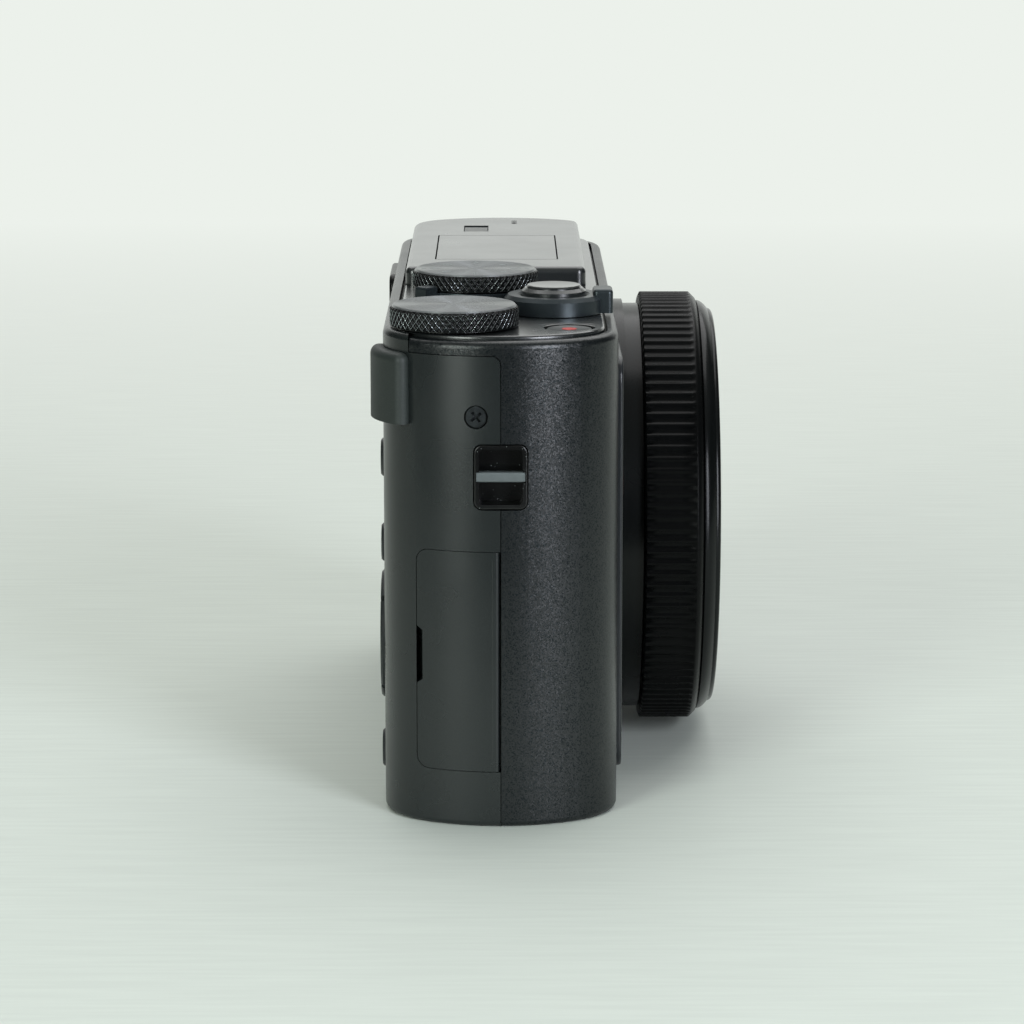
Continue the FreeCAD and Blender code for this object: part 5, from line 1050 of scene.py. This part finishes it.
@dataclass
class Marks(Assembly):
    """Plain printed marks: numbers and ticks on the dial, arrows on the pad, a red dot, an index line.

    Args:
        thickness: Half thickness of the paint.
        sunk: How far a mark's plane lies under the box of its button or dial.
        numbers: Count of numbers on the dial.
        number_reach: Distance of a number from the dial's axis.
        number_size: Height of a number's line.
        arrow_reach: Distance of an arrow from the pad's middle.
    """

    thickness: float = 0.03 * MM
    sunk: float = 0.05 * MM
    numbers: int = 8
    number_reach: float = 5.3 * MM
    number_size: float = 2.1 * MM
    arrow_reach: float = 6.3 * MM

    def flat(self, name: str, outline: Sequence[tuple], spot: Spot) -> None:
        """Make one thin mark.

        Args:
            name: Piece name.
            outline: Corners in mm, anticlockwise, in the mark's own plane.
            spot: Where it goes.
        """
        points, faces = prism([(x * MM, y * MM) for x, y in outline], -self.thickness, self.thickness)
        dress(new_object(name, [spot.place @ p for p in points], faces, spot.paint), spot.body, spot.slot)

    def number(self, name: str, text: str, spot: Spot) -> None:
        """Make one plain number as a thin mesh.

        Args:
            name: Piece name.
            text: The number.
            spot: Where it goes.
        """
        curve = bpy.data.curves.new(name + "_line", "FONT")
        curve.body = text
        curve.size = self.number_size
        curve.align_x = curve.align_y = "CENTER"
        curve.extrude = self.thickness
        source = bpy.data.objects.new(name + "_source", curve)
        mesh = bpy.data.meshes.new_from_object(source)
        bpy.data.objects.remove(source)
        mesh.name = name
        mesh.transform(spot.place)
        mesh.materials.clear()
        mesh.materials.append(spot.paint)
        item = bpy.data.objects.new(name, mesh)
        bpy.context.scene.collection.objects.link(item)
        dress(item, spot.body, spot.slot)

    def on_top(self, node: str) -> Matrix:
        """Place of a mark in the middle of a node's upper face."""
        return Matrix.Translation(plan_centre(node) + Vector((0, 0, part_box(node)[1].z - self.sunk)))

    def build(self) -> None:
        """Make every mark."""
        pale, red = self.shop.get("mark_paint"), self.shop.get("record_red")
        spot = Spot(self.on_top("movie_button"), red, "movie_button", "key_plastic")
        self.flat("movie_dot", disc(0.95), spot)
        self.dial_marks(pale)
        self.pad_marks(pale)

    def dial_marks(self, pale: bpy.types.Material) -> None:
        """Make numbers and ticks round the mode dial's top, and an index line on the housing beside it.

        Args:
            pale: Paint.
        """
        middle = self.on_top("mode_dial")
        tick = [(-0.1, 6.65), (0.1, 6.65), (0.1, 7.2), (-0.1, 7.2)]
        for number in range(self.numbers):
            spot = Spot(middle @ Matrix.Rotation(2 * math.pi * number / self.numbers, 4, "Z"), pale,
                        "mode_dial", "dial_metal")
            inner = replace(spot, place=spot.place @ Matrix.Translation((0, self.number_reach, 0)))
            self.number(f"dial_number_{number + 1}", str(number + 1), inner)
            self.flat(f"dial_tick_{number + 1}", tick, spot)
        low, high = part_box("top_housing")
        line = [(-0.9, -0.12), (0.9, -0.12), (0.9, 0.12), (-0.9, 0.12)]
        beside = Vector((low.x + 2.6 * MM, plan_centre("mode_dial").y, high.z + 0.005 * MM))
        self.flat("dial_index", line, Spot(Matrix.Translation(beside), pale, ROOT, "top_black"))

    def pad_marks(self, pale: bpy.types.Material) -> None:
        """Make arrows on the pad keys and plain shapes on the rear buttons.

        Args:
            pale: Paint.
        """
        # The rear face looks along +Y: the mark's x runs along -X and its y along +Z.
        facing = Matrix(((-1, 0, 0), (0, 0, 1), (0, 1, 0))).to_4x4()
        low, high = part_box("pad_centre_button")
        hub, outwards = (low + high) / 2, Matrix.Translation((0, self.arrow_reach, 0))
        for number, name in enumerate(("up", "left", "down", "right")):
            key = "pad_key_" + name
            place = Matrix.Translation((hub.x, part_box(key)[1].y, hub.z)) @ facing
            place = place @ Matrix.Rotation(math.radians(90 * number), 4, "Z") @ outwards
            self.flat("pad_arrow_" + name, [(-0.75, -0.4), (0.75, -0.4), (0.0, 0.55)],
                      Spot(place, pale, key, "key_plastic"))
        shapes = {
            "upper": [(-0.6, -0.8), (0.9, 0.0), (-0.6, 0.8)],
            "middle": [(-0.8, -0.8), (0.8, -0.8), (0.8, 0.8), (-0.8, 0.8)],
            "lower": disc(0.75, 32),
        }
        for name, outline in shapes.items():
            key = "rear_button_" + name
            low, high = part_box(key)
            place = Matrix.Translation(((low.x + high.x) / 2, high.y, (low.z + high.z) / 2)) @ facing
            self.flat("button_mark_" + name, outline, Spot(place, pale, key, "key_plastic"))


# Studio

@dataclass
class Studio:
    """Pale sweep, soft boxes and the camera at the photograph's angle.

    Args:
        eye: Camera position in mm.
        yaw: Turn of the view from +X towards +Y, in degrees.
        pitch: Downward tilt, in degrees.
        lens: Focal length for a 36 mm sensor.
        floor: Floor colour near the object.
        fibre_mm: Width of the board's faint grain.
        backdrop: Colour that the floor fades into.
        floor_radius: Radius of the floor disc in metres.
        paper_edge: Stretch of X over which light from the object stops meeting the board, in metres.
        fade_beyond: Stretch of X over which the board turns into the backdrop, in metres.
        fade_round: Distances from the object over which the eye loses the board, in metres.
        target: Point that the lamps look at, in metres.
        lamps: Name, place, width and height in metres, watts and colour of each soft box.
    """

    eye: tuple = (-509.3, -0.19, 128.7)
    yaw: float = -0.154
    pitch: float = 11.005
    lens: float = 129.06
    floor: str = "#d2d9d1"
    fibre_mm: float = 1.111
    backdrop: str = "#ecf1eb"
    floor_radius: float = 1.5
    paper_edge: tuple = (-0.19, -0.135)
    fade_beyond: tuple = (0.09, 0.62)
    fade_round: tuple = (0.45, 1.2)
    target: tuple = (0.0, 0.0, 0.03)
    # Right of the camera, left of the camera, and overhead.
    lamps: tuple = (
        ("key_box", (-0.65, -0.42, 0.2), (0.24, 0.62), 5.6, "#f2f6ff"),
        ("fill_box", (-0.68, 0.40, 0.24), (0.22, 0.56), 3.4, "#f6fff8"),
        ("top_box", (0.42, -0.05, 0.85), (1.1, 1.0), 6.6, "#ffffff"),
    )

    def camera(self) -> None:
        """Place the camera."""
        data = bpy.data.cameras.new("photo_camera")
        data.lens = self.lens
        data.sensor_width = 36.0
        data.clip_start = 0.01
        item = bpy.data.objects.new("photo_camera", data)
        yaw, pitch = math.radians(self.yaw), math.radians(self.pitch)
        view = Vector((math.cos(yaw) * math.cos(pitch), math.sin(yaw) * math.cos(pitch), -math.sin(pitch)))
        turn = view.to_track_quat("-Z", "Y").to_matrix().to_4x4()
        item.matrix_world = Matrix.Translation(Vector(self.eye) * MM) @ turn
        bpy.context.scene.collection.objects.link(item)
        bpy.context.scene.camera = item

    def softbox(self, name: str, at: tuple, size: tuple, power: float, colour: str) -> None:
        """Add one area lamp that looks at the object.

        Args:
            name: Lamp name.
            at: Position in metres.
            size: Width and height in metres.
            power: Watts.
            colour: Lamp colour.
        """
        data = bpy.data.lights.new(name, "AREA")
        data.shape = "RECTANGLE"
        data.size, data.size_y = size
        data.energy = power
        data.color = linear(colour)[:3]
        item = bpy.data.objects.new(name, data)
        aim = Vector(self.target) - Vector(at)
        item.matrix_world = Matrix.Translation(at) @ aim.to_track_quat("-Z", "Y").to_matrix().to_4x4()
        bpy.context.scene.collection.objects.link(item)

    def sweep_material(self) -> bpy.types.Material:
        """Make the board: faint grain near the object, fading into the bright backdrop further off.

        Returns:
            The material.
        """
        material = bpy.data.materials.new("studio_board")
        tree = blank(material)
        place = add(tree, "TexCoord").outputs["Object"]
        stretched = add(tree, "Mapping", {"Vector": place, "Scale": (1.0, 0.06, 1.0)}).outputs[0]
        grain = add(tree, "TexNoise", {"Vector": stretched, "Detail": 4.0,
                                       "Scale": per_mm(self.fibre_mm)}).outputs["Fac"]
        base = linear(self.floor)
        darker, lighter = (tuple(c * share for c in base[:3]) + (1.0,) for share in (0.97, 1.02))
        spread = add(tree, "MapRange", {"Value": grain, "From Min": 0.35, "From Max": 0.65}).outputs[0]
        paper = add(tree, "Mix", {0: spread, 6: darker, 7: lighter}, data_type="RGBA").outputs[2]
        away = add(tree, "SeparateXYZ", {"Vector": place}).outputs["X"]
        path = add(tree, "LightPath")
        # Light that reaches the object sees the paper end a little before the camera.
        inside, fade = (add(tree, "MapRange", {"Value": away, "From Min": first, "From Max": last}).outputs[0]
                        for first, last in (self.paper_edge, self.fade_beyond))
        kept = add(tree, "Math", {0: inside, 1: path.outputs["Is Camera Ray"]},
                   operation="MAXIMUM").outputs[0]
        colour = add(tree, "Mix", {0: kept, 6: linear("#1c1d1c"), 7: paper}, data_type="RGBA").outputs[2]
        board = add(tree, "BsdfPrincipled", {"Base Color": colour, "Roughness": 0.7}).outputs[0]
        glow = add(tree, "Emission", {"Color": linear(self.backdrop), "Strength": 1.0}).outputs[0]
        seen = add(tree, "Math", {0: path.outputs["Is Camera Ray"], 1: path.outputs["Is Glossy Ray"]},
                   operation="MAXIMUM").outputs[0]
        through = add(tree, "Math", {0: seen, 1: path.outputs["Is Transmission Ray"]},
                      operation="MAXIMUM").outputs[0]
        near = add(tree, "Math", {0: fade, 1: through}, operation="MULTIPLY").outputs[0]
        # In every direction the eye sees the floor run out into the backdrop, with no edge.
        reach = add(tree, "VectorMath", {0: place}, operation="LENGTH").outputs["Value"]
        wide = add(tree, "MapRange", {"Value": reach, "From Min": self.fade_round[0],
                                      "From Max": self.fade_round[1]}).outputs[0]
        far = add(tree, "Math", {0: wide, 1: path.outputs["Is Camera Ray"]},
                  operation="MULTIPLY").outputs[0]
        share = add(tree, "Math", {0: near, 1: far}, operation="MAXIMUM").outputs[0]
        mixed = add(tree, "MixShader", {0: share, 1: board, 2: glow}).outputs[0]
        add(tree, "OutputMaterial", {"Surface": mixed})
        return material

    def sweep(self) -> None:
        """Make the floor disc."""
        steps = 96
        points = [(0, 0, 0)] + [(x, y, 0) for x, y in disc(self.floor_radius, steps)]
        faces = [(0, i + 1, (i + 1) % steps + 1) for i in range(steps)]
        new_object("studio_floor", points, faces, self.sweep_material())

    def world(self) -> None:
        """Make the surroundings: a bright backdrop beyond the object, a dimmer ceiling, a dark room."""
        world = bpy.data.worlds.new("studio")
        tree = blank(world)
        way = add(tree, "TexCoord").outputs["Generated"]
        parts = add(tree, "SeparateXYZ", {"Vector": way})
        behind = add(tree, "MapRange", {"Value": parts.outputs["X"], "From Min": 0.72, "From Max": 0.93,
                                        "To Min": 0.04, "To Max": 1.0}).outputs[0]
        above = add(tree, "MapRange", {"Value": parts.outputs["Z"], "From Min": 0.35, "From Max": 0.9,
                                       "To Max": 0.4}).outputs[0]
        level = add(tree, "Math", {0: behind, 1: above}, operation="MAXIMUM").outputs[0]
        room = add(tree, "Background", {"Color": linear("#eef2ee"), "Strength": level}).outputs[0]
        sheet = add(tree, "Background", {"Color": linear(self.backdrop), "Strength": 1.0}).outputs[0]
        path = add(tree, "LightPath")
        mixed = add(tree, "MixShader", {0: path.outputs["Is Camera Ray"], 1: room, 2: sheet}).outputs[0]
        add(tree, "OutputWorld", {"Surface": mixed})
        bpy.context.scene.world = world

    def build(self) -> None:
        """Make the whole studio."""
        self.camera()
        self.sweep()
        self.world()
        for lamp in self.lamps:
            self.softbox(*lamp)


def main() -> None:
    """Load the frame, dress it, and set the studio."""
    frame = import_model()
    scene = bpy.context.scene
    scene.view_settings.view_transform = "Standard"
    shop = MaterialShop()
    groups = (CadFinish(shop, frame),
              KnurledDial(shop, "thumb_dial", thickness=2.7 * MM, shaft=2.0 * MM),
              KnurledDial(shop, "mode_dial", thickness=2.35 * MM, shaft=2.5 * MM),
              ControlRing(shop), LensBezel(shop), TopButtons(shop), CrossScrews(shop), Marks(shop), Studio())
    for group in groups:
        group.build()


if __name__ == "__main__":
    main()
